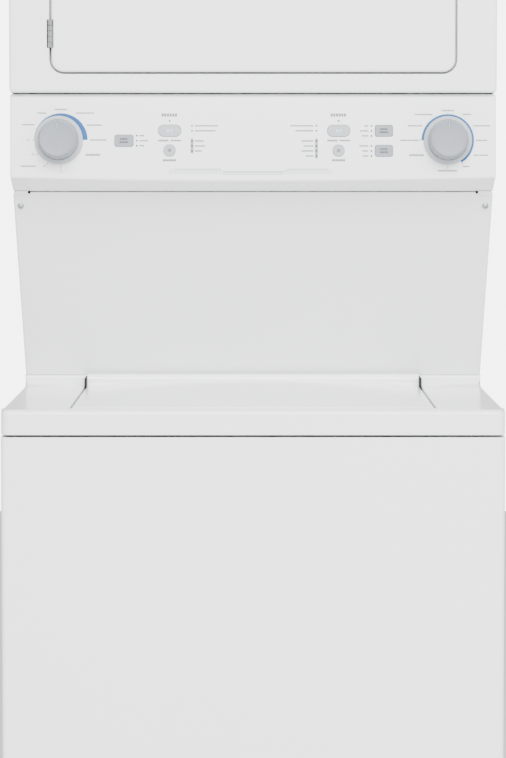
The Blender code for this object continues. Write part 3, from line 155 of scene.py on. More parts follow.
def draw_section(name, points, closed=False, fill=False):
    """A line of points in space, drawn by extruding one point from corner to corner."""
    bpy.ops.object.select_all(action="DESELECT")
    bpy.ops.mesh.primitive_plane_add(size=0.01)
    ob = bpy.context.object
    ob.name = name
    ob.data.name = name
    pick(ob, "VERT")
    bpy.ops.mesh.merge(type="CENTER")
    bpy.ops.mesh.select_all(action="SELECT")
    bpy.ops.transform.translate(value=points[0])
    for here, there in zip(points, points[1:]):
        step = Vector(there) - Vector(here)
        bpy.ops.mesh.extrude_vertices_move(TRANSFORM_OT_translate={"value": step})
    bpy.ops.mesh.select_all(action="SELECT")
    if closed or fill:
        bm = bmesh.from_edit_mesh(ob.data)
        bm.verts.ensure_lookup_table()
        ends = [v for v in bm.verts if len(v.link_edges) == 1]
        bm.edges.new(ends)
        bmesh.update_edit_mesh(ob.data)
    if fill:
        bpy.ops.mesh.select_all(action="SELECT")
        bpy.ops.mesh.edge_face_add()
    leave()
    return ob


def face_out(ob):
    """Merges doubles and turns every face outwards."""
    pick(ob, "FACE")
    bpy.ops.mesh.remove_doubles(threshold=TINY)
    bpy.ops.mesh.select_all(action="SELECT")
    bpy.ops.mesh.normals_make_consistent(inside=False)
    leave()
    return ob


def turn(name, points, centre, axis="Z", steps=64):
    """Spins a section of (radius, height) points round an axis. Y's heights run along +Y."""
    centre = Vector(centre)
    if axis == "Z":
        placed = [centre + Vector((r, 0, h)) for r, h in points]
        spin_axis = (0, 0, 1)
    elif axis == "Y":
        placed = [centre + Vector((r, h, 0)) for r, h in points]
        spin_axis = (0, 1, 0)
    else:
        placed = [centre + Vector((h, r, 0)) for r, h in points]
        spin_axis = (1, 0, 0)
    ob = draw_section(name, placed)
    pick(ob, "VERT")
    bpy.ops.mesh.spin(steps=steps, angle=2 * math.pi, center=centre, axis=spin_axis)
    bpy.ops.mesh.select_all(action="SELECT")
    bpy.ops.mesh.remove_doubles(threshold=TINY)
    leave()
    return face_out(ob)


# %% [markdown]
# ## Bends, walls and cuts
# Sheet steel has no sharp edges: every fold has a radius. A live modifier would do, but an applied
# one gives a mesh that can be measured and cut. The helper bevels chosen edges, another gives a
# shell its sheet thickness, another cuts one shape with others and throws the cutters away.
# Weighted normals come last, so that wide flat faces stay flat to the eye beside round edges.

# %% Shaping helpers
def apply(ob, kind, **settings):
    """Adds one modifier, gives it its settings and applies it."""
    only(ob)
    step = ob.modifiers.new(kind.lower(), kind)
    for key, value in settings.items():
        setattr(step, key, value)
    bpy.ops.object.modifier_apply(modifier=step.name)
    return ob


def bend(ob, radius, test, segments=5, affect="EDGES"):
    """Rounds the edges (or corners) that the test picks."""
    found = pick(ob, "VERT" if affect == "VERTICES" else "EDGE", test)
    if found:
        bpy.ops.mesh.bevel(offset=radius, offset_type="OFFSET", segments=segments, affect=affect)
    leave()
    return ob


def slice_at(ob, axis, *places):
    """Cuts new edges across ob at places along an axis."""
    way = Vector([float(k == "XYZ".index(axis)) for k in range(3)])
    for place in places:
        pick(ob, "FACE")
        bpy.ops.mesh.bisect(plane_co=way * place, plane_no=way)
        leave()
    return ob


def push(ob, test, by):
    """Extrudes the faces that the test picks by a vector."""
    pick(ob, "FACE", test)
    bpy.ops.mesh.extrude_region_move(TRANSFORM_OT_translate={"value": by})
    leave()
    return ob


def drop(ob, test, kind="FACE"):
    """Deletes the faces that the test picks."""
    pick(ob, kind, test)
    bpy.ops.mesh.delete(type=kind)
    leave()
    return ob


def wall(ob, thick, offset=-1.0):
    """Gives an open shell its thickness, inwards."""
    return apply(ob, "SOLIDIFY", thickness=thick, offset=offset, use_even_offset=True)


def combine(ob, *tools, operation="DIFFERENCE"):
    """Cuts ob with the tools, or joins them to it, and removes the tools."""
    for tool in tools:
        apply(ob, "BOOLEAN", operation=operation, solver="EXACT", object=tool)
        bpy.data.objects.remove(tool)
    return ob


def round_edges(ob, radius, segments=3, angle=35):
    """Rounds every edge sharper than an angle."""
    return apply(ob, "BEVEL", width=radius, segments=segments, limit_method="ANGLE",
                 angle_limit=math.radians(angle), miter_outer="MITER_ARC",
                 use_clamp_overlap=True)


def smooth(ob, angle=40):
    """Smooth shading that keeps flat faces flat."""
    only(ob)
    bpy.ops.object.shade_smooth_by_angle(angle=math.radians(angle))
    apply(ob, "WEIGHTED_NORMAL", keep_sharp=True, weight=80)
    return ob


def copy_of(ob, name, shift=(0, 0, 0), mirror_x=False):
    """A copy with its own mesh, moved or mirrored in its mesh."""
    new = ob.copy()
    new.data = ob.data.copy()
    new.name = name
    new.data.name = name
    bpy.context.scene.collection.objects.link(new)
    pick(new, "VERT")
    if mirror_x:
        bpy.ops.transform.resize(value=(-1, 1, 1), center_override=(0, 0, 0))
        bpy.ops.mesh.select_all(action="SELECT")
        bpy.ops.mesh.flip_normals()
    bpy.ops.transform.translate(value=shift)
    leave()
    return new


def join(name, *parts):
    """Several meshes as one object."""
    only(parts[0])
    for part in parts[1:]:
        part.select_set(True)
    bpy.ops.object.join()
    parts[0].name = name
    parts[0].data.name = name
    return parts[0]


def tip(ob, angle, about, axis="X"):
    """Turns a mesh about a line through a point, by a plain rotation of its points."""
    about = Vector(about)
    place = Matrix.Translation(about) @ Matrix.Rotation(angle, 4, axis) @ Matrix.Translation(-about)
    ob.data.transform(place)
    return ob


def done(ob, finish, body, slot, *nodes):
    """Gives a finished piece its material and body, and hides the nodes it stands for. slot is not used."""
    leave() if bpy.context.mode != "OBJECT" else None
    ob.data.materials.clear()
    ob.data.materials.append(finish)
    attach(ob, body)
    if nodes:
        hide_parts(*nodes)
    low = [round(min(v.co[k] for v in ob.data.vertices), 4) for k in range(3)]
    high = [round(max(v.co[k] for v in ob.data.vertices), 4) for k in range(3)]
    print(ob.name, len(ob.data.polygons), "faces", low, high)
    return ob


# %% [markdown]
# ## Camera, floor and light
# The camera stands level with the control console and looks slightly down, through a long lens, so
# that upright edges stay nearly upright. The washer runs out of the bottom of the frame and the
# dryer out of the top. Light comes from all round, as in a white studio tent, with one wide lamp
# high in front, because the fronts are the brightest faces, and one over the right shoulder, for
# the soft sheen on the console.

# %% Camera
CAMERA_BACK = 3.700       # in front of the washer's front
CAMERA_HEIGHT = 1.306
CAMERA_DOWN = math.radians(3.25)

lens = bpy.data.cameras.new("camera")
lens.lens = 129.95
lens.sensor_width = 36.0
lens.shift_y = -0.086
camera = bpy.data.objects.new("camera", lens)
camera.location = (0, cad_low.y - CAMERA_BACK, CAMERA_HEIGHT)
camera.rotation_euler = (math.pi / 2 - CAMERA_DOWN, 0, 0)
bpy.context.scene.collection.objects.link(camera)
bpy.context.scene.camera = camera

# %% Colours and nodes
def linear(code):
    """An sRGB hex colour as linear light."""
    shares = [int(code[k:k + 2], 16) / 255 for k in (1, 3, 5)]
    return tuple(s / 12.92 if s <= 0.04045 else ((s + 0.055) / 1.055) ** 2.4 for s in shares) + (1.0,)


def add(tree, kind, settings=None, values=None, links=None):
    """Adds one node: its settings, its socket values, and links from (node, output)."""
    new = tree.nodes.new("ShaderNode" + kind)
    for key, value in (settings or {}).items():
        setattr(new, key, value)
    for key, value in (values or {}).items():
        new.inputs[key].default_value = value
    for key, (source, output) in (links or {}).items():
        tree.links.new(source.outputs[output], new.inputs[key])
    return new


# %% Floor and light
floor = add_block("studio_floor", (-6, -7, -0.02), (6, 6, 0))
round_edges(floor, 0.004)
paint = bpy.data.materials.new("pale_studio_paper")
paint.use_nodes = True
paper = paint.node_tree.nodes["Principled BSDF"]
paper.inputs["Base Color"].default_value = linear("#F2F2F1")
paper.inputs["Roughness"].default_value = 0.9
floor.data.materials.append(paint)

tent = bpy.data.worlds.new("white_tent")
bpy.context.scene.world = tent
tent.use_nodes = True
TENT_LIGHT = 0.95         # what lights the enamel
TENT_SEEN = 6.0           # what the lens sees behind the machine
sky = tent.node_tree
rays = add(sky, "LightPath")
level = add(sky, "Mix", {"data_type": "FLOAT"}, {"A": TENT_LIGHT, "B": TENT_SEEN},
            {"Factor": (rays, "Is Camera Ray")})
sky.nodes["Background"].inputs["Color"].default_value = (1, 1, 1, 1)
sky.links.new(level.outputs["Result"], sky.nodes["Background"].inputs["Strength"])


def lamp(name, place, aim, size, power):
    """A wide rectangular lamp at a place, facing a point."""
    data = bpy.data.lights.new(name, "AREA")
    data.shape = "RECTANGLE"
    data.size, data.size_y = size
    data.energy = power
    ob = bpy.data.objects.new(name, data)
    ob.location = place
    ob.rotation_euler = (Vector(aim) - Vector(place)).to_track_quat("-Z", "Y").to_euler()
    bpy.context.scene.collection.objects.link(ob)
    return ob


lamp("front_lamp", (0.3, -5.2, 4.4), (0, 0, 1.1), (4.0, 3.0), 900)
lamp("shoulder_lamp", (2.6, -2.6, 3.2), (0.1, -0.2, 1.3), (1.2, 1.2), 60)
print("camera", tuple(round(c, 3) for c in camera.location), "and two lamps")

# %% [markdown]
# ## Finishes
# Each finish starts from the real process. The cabinets are sheet steel with a baked enamel: white,
# glossy, with the faint orange peel that a sprayed coat keeps when it flows and sets. The console is
# moulded ABS with a fine spark-eroded grain, so it shines less. Patterns take Object coordinates,
# so a real size in millimetres gives their scale: a noise of scale s repeats every 1/s metres.

# %% A finish with a grain
MM = 0.001


def finish(name, colour, rough, metal=0.0, ior=1.5, coat=0.0, grain=None, cloud=None, scuff=0.0):
    """A Principled material. grain is (size in mm, bump height in mm), cloud is (size, second
    colour): a slow change of colour. scuff spreads the roughness with the same slow change."""
    made = bpy.data.materials.new(name)
    made.use_nodes = True
    tree = made.node_tree
    shader = tree.nodes["Principled BSDF"]
    shader.inputs["Base Color"].default_value = linear(colour)
    shader.inputs["Roughness"].default_value = rough
    shader.inputs["Metallic"].default_value = metal
    if not metal:
        shader.inputs["IOR"].default_value = ior
    shader.inputs["Coat Weight"].default_value = coat
    shader.inputs["Coat Roughness"].default_value = 0.06
    place = add(tree, "TexCoord")
    if cloud:
        size, second = cloud
        slow = add(tree, "TexNoise", values={"Scale": 1 / (size * MM), "Detail": 3.0},
                   links={"Vector": (place, "Object")})
        tint = add(tree, "Mix", {"data_type": "RGBA"}, links={"Factor": (slow, "Fac")})
        tint.inputs["A"].default_value = linear(colour)
        tint.inputs["B"].default_value = linear(second)
        # a Mix node has one Result for each kind of value; the colour one is the third
        tree.links.new(tint.outputs[2], shader.inputs["Base Color"])
        spread = add(tree, "MapRange", values={"To Min": rough - scuff, "To Max": rough + scuff},
                     links={"Value": (slow, "Fac")})
        if scuff:
            tree.links.new(spread.outputs["Result"], shader.inputs["Roughness"])
        else:
            tree.nodes.remove(spread)
    if grain:
        size, height = grain
        fine = add(tree, "TexNoise", values={"Scale": 1 / (size * MM), "Detail": 2.0},
                   links={"Vector": (place, "Object")})
        bump = add(tree, "Bump", values={"Strength": 1.0, "Distance": height * MM},
                   links={"Height": (fine, "Fac")})
        tree.links.new(bump.outputs["Normal"], shader.inputs["Normal"])
    return made


# %% [markdown]
# Baked enamel on pressed steel: almost neutral white with a breath of green-grey. The orange peel
# is waves of about 3 mm, a few thousandths of a millimetre high. Wide panels also bow by a hair,
# which a second, slow wave would show, but the cloud of roughness does that more cheaply.

# %% Cabinet and console finishes
enamel = finish("baked_white_enamel_on_steel", "#EFF1F0", 0.16, grain=(3.2, 0.010),
                cloud=(260, "#ECEEED"), scuff=0.02)
drum_enamel = finish("porcelain_white_on_drum", "#E9EBEA", 0.30, grain=(2.4, 0.012),
                     cloud=(120, "#E2E4E3"), scuff=0.05)
# spark-eroded ABS: the pits are near 0.1 mm, drawn at 0.7 mm so that they show at all
console_abs = finish("textured_white_abs", "#EDEFEE", 0.34, ior=1.54, grain=(0.7, 0.010),
                     cloud=(90, "#EAECEB"), scuff=0.03)
# the knobs are moulded grey and then sprayed with a satin paint
knob_paint = finish("satin_grey_painted_abs", "#80858D", 0.50, ior=1.46, coat=0.0,
                    grain=(0.5, 0.004), cloud=(18, "#7B8088"), scuff=0.05)
knob_rim = finish("satin_light_grey_painted_abs", "#A6ABB1", 0.46, ior=1.46, coat=0.0,
                  grain=(0.5, 0.003), cloud=(18, "#A2A7AD"), scuff=0.04)
key_grey = finish("moulded_grey_abs", "#83888F", 0.52, ior=1.54, grain=(0.5, 0.006),
                  cloud=(12, "#7F848B"), scuff=0.04)
key_light = finish("moulded_pale_grey_abs", "#A0A4A9", 0.50, ior=1.54, grain=(0.5, 0.006),
                   cloud=(12, "#9CA0A5"), scuff=0.04)
# screen-printed inks lie a few hundredths of a millimetre over the plastic and are nearly matt
ink_dark = finish("screen_print_graphite_ink", "#18191B", 0.7, grain=(0.3, 0.003),
                  cloud=(3, "#1E1F22"))
ink_pale = finish("screen_print_pale_grey_ink", "#8D939A", 0.55, grain=(0.3, 0.003),
                  cloud=(3, "#899097"))
ink_blue = finish("screen_print_blue_ink", "#00487F", 0.60, grain=(0.3, 0.003),
                  cloud=(6, "#034C83"), scuff=0.04)
ink_halo = finish("screen_print_ice_blue_ink", "#B9D6E4", 0.5, grain=(0.3, 0.003),
                  cloud=(6, "#B4D2E1"))
smoked = finish("smoked_lamp_lens", "#2A2A2D", 0.12, ior=1.49, coat=0.6, grain=(0.6, 0.002),
                cloud=(4, "#1F1F22"))
# a near-black finish for small blocks set into narrow gaps: painted shade for the shadow inside them
painted_gap_shade = finish("black_painted_gap_shade", "#141415", 0.95, grain=(0.8, 0.05), cloud=(6, "#1A1A1B"))

# %% [markdown]
# The metals. Galvanised sheet shows spangle: crystals of zinc 5 to 15 mm across, each with its own
# grey. A Voronoi pattern gives one random value to each cell, and that value moves the colour and
# the roughness a little. Brushed and turned metals carry fine lines, so their noise is stretched
# along one direction by a Mapping node.

# %% Metals
def spangle(name, size):
    made = finish(name, "#B9BDC0", 0.40, metal=1.0)
    tree = made.node_tree
    shader = tree.nodes["Principled BSDF"]
    place = add(tree, "TexCoord")
    cells = add(tree, "TexVoronoi", values={"Scale": 1 / (size * MM)},
                links={"Vector": (place, "Object")})
    grey = add(tree, "SeparateColor", links={"Color": (cells, "Color")})
    shade = add(tree, "ValToRGB", links={"Fac": (grey, "Red")})
    shade.color_ramp.elements[0].color = linear("#9EA3A8")
    shade.color_ramp.elements[1].color = linear("#C9CDD0")
    rough = add(tree, "MapRange", values={"To Min": 0.32, "To Max": 0.52},
                links={"Value": (grey, "Green")})
    tree.links.new(shade.outputs["Color"], shader.inputs["Base Color"])
    tree.links.new(rough.outputs["Result"], shader.inputs["Roughness"])
    return made


def brushed(name, colour, second, rough, stretch, height=0.004):
    """A metal with fine lines along the axis that stretch leaves smallest."""
    made = finish(name, colour, rough, metal=1.0)
    tree = made.node_tree
    shader = tree.nodes["Principled BSDF"]
    place = add(tree, "TexCoord")
    drawn = add(tree, "Mapping", values={"Scale": stretch}, links={"Vector": (place, "Object")})
    lines = add(tree, "TexNoise", values={"Scale": 1.0, "Detail": 4.0},
                links={"Vector": (drawn, "Vector")})
    shade = add(tree, "ValToRGB", links={"Fac": (lines, "Fac")})
    shade.color_ramp.elements[0].position = 0.3
    shade.color_ramp.elements[0].color = linear(second)
    shade.color_ramp.elements[1].position = 0.7
    shade.color_ramp.elements[1].color = linear(colour)
    bump = add(tree, "Bump", values={"Strength": 0.6, "Distance": height * MM},
               links={"Height": (lines, "Fac")})
    tree.links.new(shade.outputs["Color"], shader.inputs["Base Color"])
    tree.links.new(bump.outputs["Normal"], shader.inputs["Normal"])
    return made


galvanised = spangle("hot_dip_galvanised_sheet", 9)
zinc_plate = finish("bright_zinc_plated_steel", "#B4B8BC", 0.30, metal=1.0, grain=(1.2, 0.006),
                    cloud=(8, "#A9AEB4"), scuff=0.06)
stainless = brushed("stainless_basket_sheet", "#C6C8CA", "#A4A7AA", 0.26, (900, 900, 8))
steel_pin = brushed("drawn_steel_hinge", "#C2C4C7", "#9B9EA2", 0.28, (1500, 1500, 60))
cast = finish("sand_cast_aluminium", "#A6A9AC", 0.55, metal=1.0, grain=(1.6, 0.06),
              cloud=(25, "#96999D"), scuff=0.08)
tub_pp = finish("moulded_grey_white_polypropylene", "#D5D7D6", 0.46, ior=1.49, grain=(1.5, 0.012),
                cloud=(60, "#CCCFCE"), scuff=0.05)
agitator_pp = finish("moulded_white_polypropylene", "#E3E6E6", 0.36, ior=1.49, grain=(2.0, 0.010),
                     cloud=(70, "#DBDFE0"), scuff=0.05)
pump_pp = finish("glass_filled_grey_polypropylene", "#85888C", 0.52, ior=1.49, grain=(1.0, 0.02),
                 cloud=(15, "#797C80"), scuff=0.06)
rubber = finish("black_moulded_rubber", "#242426", 0.72, ior=1.52, grain=(0.9, 0.03),
                cloud=(20, "#2E2E30"), scuff=0.08)
motor_paint = finish("black_dipped_motor_shell", "#4A4C50", 0.45, coat=0.2, grain=(1.4, 0.02),
                     cloud=(20, "#414347"), scuff=0.08)
FINISHES = len(bpy.data.materials)
print(FINISHES, "materials")

# %% [markdown]
# ## Washer front
# One pressed panel with four folded sides. It starts as a block; the front's upright corners and
# its top edge are rolled over a wider radius than a plain fold, which catches a soft line of light
# just under the lid deck. The back is open, so the rear face goes and the rest gets the sheet's
# thickness.

# %% Washer front panel
panel_low, panel_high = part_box("washer_front_panel")
FRONT = panel_low.y
HALF = panel_high.x

front = add_block("washer_front_pressing", panel_low, panel_high)
bend(front, 0.0070, lambda c, way: near(c.y, FRONT) and abs(abs(c.x) - HALF) < TINY, 6)
bend(front, 0.0065, lambda c, way: near(c.y, FRONT) and near(c.z, panel_high.z), 6)
bend(front, 0.0040, lambda c, way: near(c.y, FRONT) and near(c.z, panel_low.z), 4)
drop(front, lambda c, way: near(c.y, panel_high.y) and way.y > 0.9)
wall(front, SHEET)
smooth(front)
done(front, enamel, "chassis", "painted", "washer_front_panel")

# %% [markdown]
# ## Washer cabinet
# The sides and back are one sheet, wrapped round and closed behind the front with flanges. A real
# back has shallow pressed beads, so that the wide sheet does not drum, and a plate with screws
# where the machine is opened. The beads here are blocks with round ends, united with the sheet, so
# they are part of the shell and not painted on.

# %% Wrap-round cabinet
wrap_low, wrap_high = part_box("washer_cabinet")
wrap = add_block("washer_wrapper", wrap_low, wrap_high)
bend(wrap, 0.0050, lambda c, way: near(c.y, wrap_high.y) and abs(abs(c.x) - HALF) < TINY
     and abs(way.z) > 0.9, 4)
drop(wrap, lambda c, way: abs(way.z) > 0.9)
FLANGE = 0.020
slice_at(wrap, "X", -HALF + FLANGE, HALF - FLANGE)
drop(wrap, lambda c, way: way.y < -0.9 and abs(c.x) < HALF - FLANGE)
wall(wrap, SHEET)


def bead(name, low, high, plane_y, rise):
    """A long pressed bead with round ends, standing out of a back panel by rise."""
    ob = add_block(name, (low[0], plane_y - 0.0010, low[1]), (high[0], plane_y + rise, high[1]))
    radius = min(high[0] - low[0], high[1] - low[1]) / 2 - 0.0001
    bend(ob, radius, lambda c, way: abs(way.y) > 0.9, 6)
    pick(ob, "FACE", lambda c, way: way.y > 0.9)
    bpy.ops.transform.resize(value=(0.985, 1.0, 0.985), center_override=(
        (low[0] + high[0]) / 2, plane_y + rise, (low[1] + high[1]) / 2))
    leave()
    return ob


beads = [bead("rib_%d" % k, (x - 0.009, 0.140), (x + 0.009, 0.620), wrap_high.y, 0.0022)
         for k, x in enumerate((-0.230, -0.115, 0.0, 0.115, 0.230))]
combine(wrap, *beads, operation="UNION")
valve_low, valve_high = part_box("water_inlet_valve")
VALVE_X = (valve_low.x + valve_high.x) / 2
VALVE_Z = (valve_low.z + valve_high.z) / 2
VALVE_APART = 0.0325
for side in (-1, 1):
    bore = turn("bore", [(0, -0.02), (0.0145, -0.02), (0.0145, 0.02), (0, 0.02)],
                (VALVE_X + side * VALVE_APART, wrap_high.y, VALVE_Z), "Y", 32)
    combine(wrap, bore)
smooth(wrap)
done(wrap, enamel, "chassis", "painted", "washer_cabinet")

# %% [markdown]
# The rear access plate is thin, has a raised middle, and is held by small hex-head screws. One screw
# is modelled, with its flange, its six-sided head and a dished top, and the rest are copies with
# their own meshes.

# %% Rear access plate and screws
PLATE = (-0.105, 0.660, 0.105, 0.900)
access = add_block("washer_rear_access_plate", (PLATE[0], wrap_high.y + 0.0002, PLATE[1]),
                   (PLATE[2], wrap_high.y + 0.0014, PLATE[3]))
pick(access, "FACE", lambda c, way: way.y > 0.9)
bpy.ops.mesh.inset(thickness=0.018)
bpy.ops.mesh.inset(thickness=0.004, depth=0.0020)
leave()
bend(access, 0.010, lambda c, way: abs(way.y) > 0.9, 5)
round_edges(access, 0.0012, 3, 20)
smooth(access)
done(access, galvanised, "chassis", "zinc")


def hex_screw(name, at, axis="Y", size=0.0042, facing=1):
    """A hex-head sheet-metal screw with its washer face against a panel."""
    points = [(0, 0.0), (size * 1.35, 0.0), (size * 1.35, 0.0009), (size * 1.0, 0.0011)]
    base = turn(name + "_flange", [(r, h * facing) for r, h in points] + [(0, 0.0011 * facing)],
                at, axis, 24)
    head = turn(name + "_head", [(0, 0.0010 * facing), (size, 0.0010 * facing), (size, 0.0036 * facing),
                (size * 0.86, 0.0042 * facing), (size * 0.62, 0.0042 * facing),
                (size * 0.50, 0.0034 * facing), (0, 0.0034 * facing)], at, axis, 6)
    ob = join(name, base, head)
    face_out(ob)
    return smooth(ob, 30)


screw = hex_screw("rear_screw_1", (PLATE[0] + 0.009, wrap_high.y + 0.0014, PLATE[1] + 0.009))
done(screw, zinc_plate, "chassis", "zinc")
wide, tall = PLATE[2] - PLATE[0] - 0.018, PLATE[3] - PLATE[1] - 0.018
rear_places = [(wide, 0, 0), (0, 0, tall), (wide, 0, tall), (wide / 2, 0, 0), (wide / 2, 0, tall)]
for k, shift in enumerate(rear_places):
    done(copy_of(screw, "rear_screw_%d" % (k + 2), shift), zinc_plate, "chassis", "zinc")

# %% [markdown]
# ## Lid deck
# The deck is one deep pressing. Cut lines are bisected across a block's top, then its regions are
# pushed: the rear ledge up, the lid's recess down, and the loading hole out. Then come the radii
# of the die: wide at the two front corners, a fillet where the ledge rises, small ones round the
# recess. The sheet's thickness is added last, inwards.

# %% Lid deck
deck_low, deck_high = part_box("washer_top_deck")
ledge_z = deck_high.z
DECK_Z = 0.965
lid_low, lid_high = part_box("washer_lid")
rod_low, rod_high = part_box("lid_hinge_rod")
AXIS_Y, AXIS_Z = (rod_low.y + rod_high.y) / 2, (rod_low.z + rod_high.z) / 2
ROLL = lid_high.y - AXIS_Y
RECESS = lid_high.x + 0.003
RECESS_FRONT = lid_low.y - 0.003
RIDGE = AXIS_Y - ROLL
LEDGE = AXIS_Y + ROLL + 0.001
MOUTH = RECESS - 0.026
FLOOR_Z = DECK_Z - 0.013

deck = add_block("washer_lid_deck", deck_low, (deck_high.x, deck_high.y, DECK_Z))
slice_at(deck, "X", -RECESS, -MOUTH, MOUTH, RECESS)
slice_at(deck, "Y", RECESS_FRONT, RECESS_FRONT + 0.026, RIDGE - 0.026, RIDGE, LEDGE)
up = lambda c, way: way.z > 0.9
push(deck, lambda c, way: up(c, way) and (c.y > LEDGE or (c.y > RIDGE and abs(c.x) > RECESS)),
     (0, 0, ledge_z - DECK_Z))
push(deck, lambda c, way: up(c, way) and near(c.z, DECK_Z) and abs(c.x) < RECESS
     and RECESS_FRONT < c.y < LEDGE, (0, 0, FLOOR_Z - DECK_Z))
drop(deck, lambda c, way: up(c, way) and near(c.z, FLOOR_Z) and abs(c.x) < MOUTH
     and RECESS_FRONT + 0.026 < c.y < RIDGE - 0.026)
drop(deck, lambda c, way: way.z < -0.9 and near(c.z, deck_low.z))
face_out(deck)
bend(deck, 0.012, lambda c, way: near(c.y, deck_low.y) and abs(abs(c.x) - HALF) < TINY
     and abs(way.z) > 0.9, 6)
bend(deck, 0.0070, lambda c, way: near(c.z, DECK_Z) and c.y < deck_low.y + 0.013
     and abs(way.z) < 0.1 and (near(c.y, deck_low.y) or abs(c.x) > HALF - 0.013), 6)
bend(deck, 0.0050, lambda c, way: near(c.z, DECK_Z) and abs(abs(c.x) - HALF) < TINY
     and abs(way.y) > 0.9, 5)
# the fillet where the ledge rises behind the flat of the deck
bend(deck, 0.0070, lambda c, way: near(c.z, DECK_Z) and near(c.y, RIDGE) and abs(c.x) > RECESS, 6)
bend(deck, 0.0030, lambda c, way: near(c.z, ledge_z) and near(c.y, RIDGE) and abs(way.x) > 0.9, 4)
bend(deck, 0.0016, lambda c, way: near(c.z, DECK_Z) and abs(c.x) < RECESS + TINY
     and RECESS_FRONT - TINY < c.y < RIDGE - 0.001, 3)
wall(deck, SHEET)
rod_hole = turn("hole", [(0, -0.3), (rod_high.y - AXIS_Y + 0.0004, -0.3),
                         (rod_high.y - AXIS_Y + 0.0004, 0.3), (0, 0.3)], (0, AXIS_Y, AXIS_Z), "X", 20)
combine(deck, rod_hole)
smooth(deck)
done(deck, enamel, "chassis", "painted", "washer_top_deck")

# %% [markdown]
# ## Lid
# The lid is crowned from side to side, and more at the back than at the front. Two arcs are drawn,
# one for each end, and bridged, which spreads the crown evenly. The rim is folded down all round.
# Behind, the sheet turns up in line with the deck's ledge and rolls over the hinge rod: that part
# has one section all along, so it is drawn once and extruded. Where the crown meets it, the joint
# makes a long bow-shaped crease.

# %% Crowned lid
LID_HALF = lid_high.x
LID_FRONT = lid_low.y
LID_BASE = lid_low.z
ARC_STEPS = 28


def crown_arc(y, middle, edge):
    """Points across the lid, high in the middle and falling to the edges like an arc."""
    places = [LID_HALF * (2 * k / ARC_STEPS - 1) for k in range(ARC_STEPS + 1)]
    return [(x, y, edge + (middle - edge) * (1 - (x / LID_HALF) ** 2)) for x in places]


front_arc = draw_section("lid_front_arc", crown_arc(LID_FRONT, DECK_Z + 0.0016, DECK_Z + 0.0004))
middle_arc = draw_section("lid_middle_arc", crown_arc(LID_FRONT + 0.10, DECK_Z + 0.0068, DECK_Z + 0.0006))
rear_arc = draw_section("lid_rear_arc", crown_arc(RIDGE + 0.0005, DECK_Z + 0.0098, DECK_Z + 0.0006))
lid = join("washer_lid_pressing", front_arc, middle_arc, rear_arc)


def bridge(ob, first, second, cuts):
    """Joins the lines at two places along Y with faces."""
    pick(ob, "EDGE", lambda c, way: near(c.y, first, 1e-4) or near(c.y, second, 1e-4))
    bpy.ops.mesh.bridge_edge_loops(number_cuts=cuts, interpolation="LINEAR")
    leave()


bridge(lid, LID_FRONT, LID_FRONT + 0.10, 5)
bridge(lid, LID_FRONT + 0.10, RIDGE + 0.0005, 11)
pick(lid, "EDGE", lambda c, way: near(c.y, LID_FRONT) or abs(abs(c.x) - LID_HALF) < TINY)
bpy.ops.mesh.extrude_region_move(TRANSFORM_OT_translate={"value": (0, 0, -0.02)})
bpy.ops.transform.resize(value=(1, 1, 0), center_override=(0, 0, LID_BASE))
leave()
face_out(lid)
bend(lid, 0.0080, lambda c, way: near(c.y, LID_FRONT) and abs(abs(c.x) - LID_HALF) < TINY
     and abs(way.z) > 0.5, 5)
bend(lid, 0.0032, lambda c, way: c.z > DECK_Z - 0.002 and abs(way.z) < 0.5 and (
    near(c.y, LID_FRONT, 1e-4) or abs(abs(c.x) - LID_HALF) < 1e-4
    or (c.y < LID_FRONT + 0.0079 and abs(c.x) > LID_HALF - 0.0079)), 4)
wall(lid, 0.0012)

# the turned-up back: a fillet, a short rise, then the roll over the rod
roll_out, roll_in = ROLL - 0.0002, ROLL - 0.0012
back_points = [(0, RIDGE - 0.0075, DECK_Z - 0.0010), (0, RIDGE - 0.0032, DECK_Z - 0.0002),
               (0, RIDGE - 0.0008, DECK_Z + 0.0018), (0, RIDGE + 0.0002, DECK_Z + 0.0046)]
for k in range(13):
    a = math.radians(180 - 19 * k)
    back_points.append((0, AXIS_Y + roll_out * math.cos(a), AXIS_Z + roll_out * math.sin(a)))
inner_points = [(x, y + (0.0012 if y < AXIS_Y - ROLL + 0.001 else 0), z - 0.0012)
                for x, y, z in back_points[:4]]
for k in range(13):
    a = math.radians(180 - 19 * k)
    inner_points.append((0, AXIS_Y + roll_in * math.cos(a), AXIS_Z + roll_in * math.sin(a)))
section = [(x - LID_HALF, y, z) for x, y, z in back_points + inner_points[::-1]]
lid_back = draw_section("lid_rolled_back", section, fill=True)
pick(lid_back, "FACE")
bpy.ops.mesh.extrude_region_move(TRANSFORM_OT_translate={"value": (2 * LID_HALF, 0, 0)})
leave()
face_out(lid_back)
combine(lid, lid_back, operation="UNION")
smooth(lid, 30)
done(lid, enamel, "washer_lid", "painted", "washer_lid")

# %% [markdown]
# The rod that the lid turns on runs through the roll and ends in the deck. Its two ends show in
# the slots beside the lid, so they are rounded. Two rubber bumpers sit in the recess under the
# lid's front corners.

# %% Hinge rod and lid bumpers
rod_radius = rod_high.y - AXIS_Y
rod_half = rod_high.x
rod = turn("lid_hinge_pin", [(0, -rod_half), (rod_radius * 0.7, -rod_half),
           (rod_radius, -rod_half + 0.001), (rod_radius, rod_half - 0.001),
           (rod_radius * 0.7, rod_half), (0, rod_half)], (0, AXIS_Y, AXIS_Z), "X", 24)
smooth(rod)
done(rod, zinc_plate, "chassis", "zinc", "lid_hinge_rod")

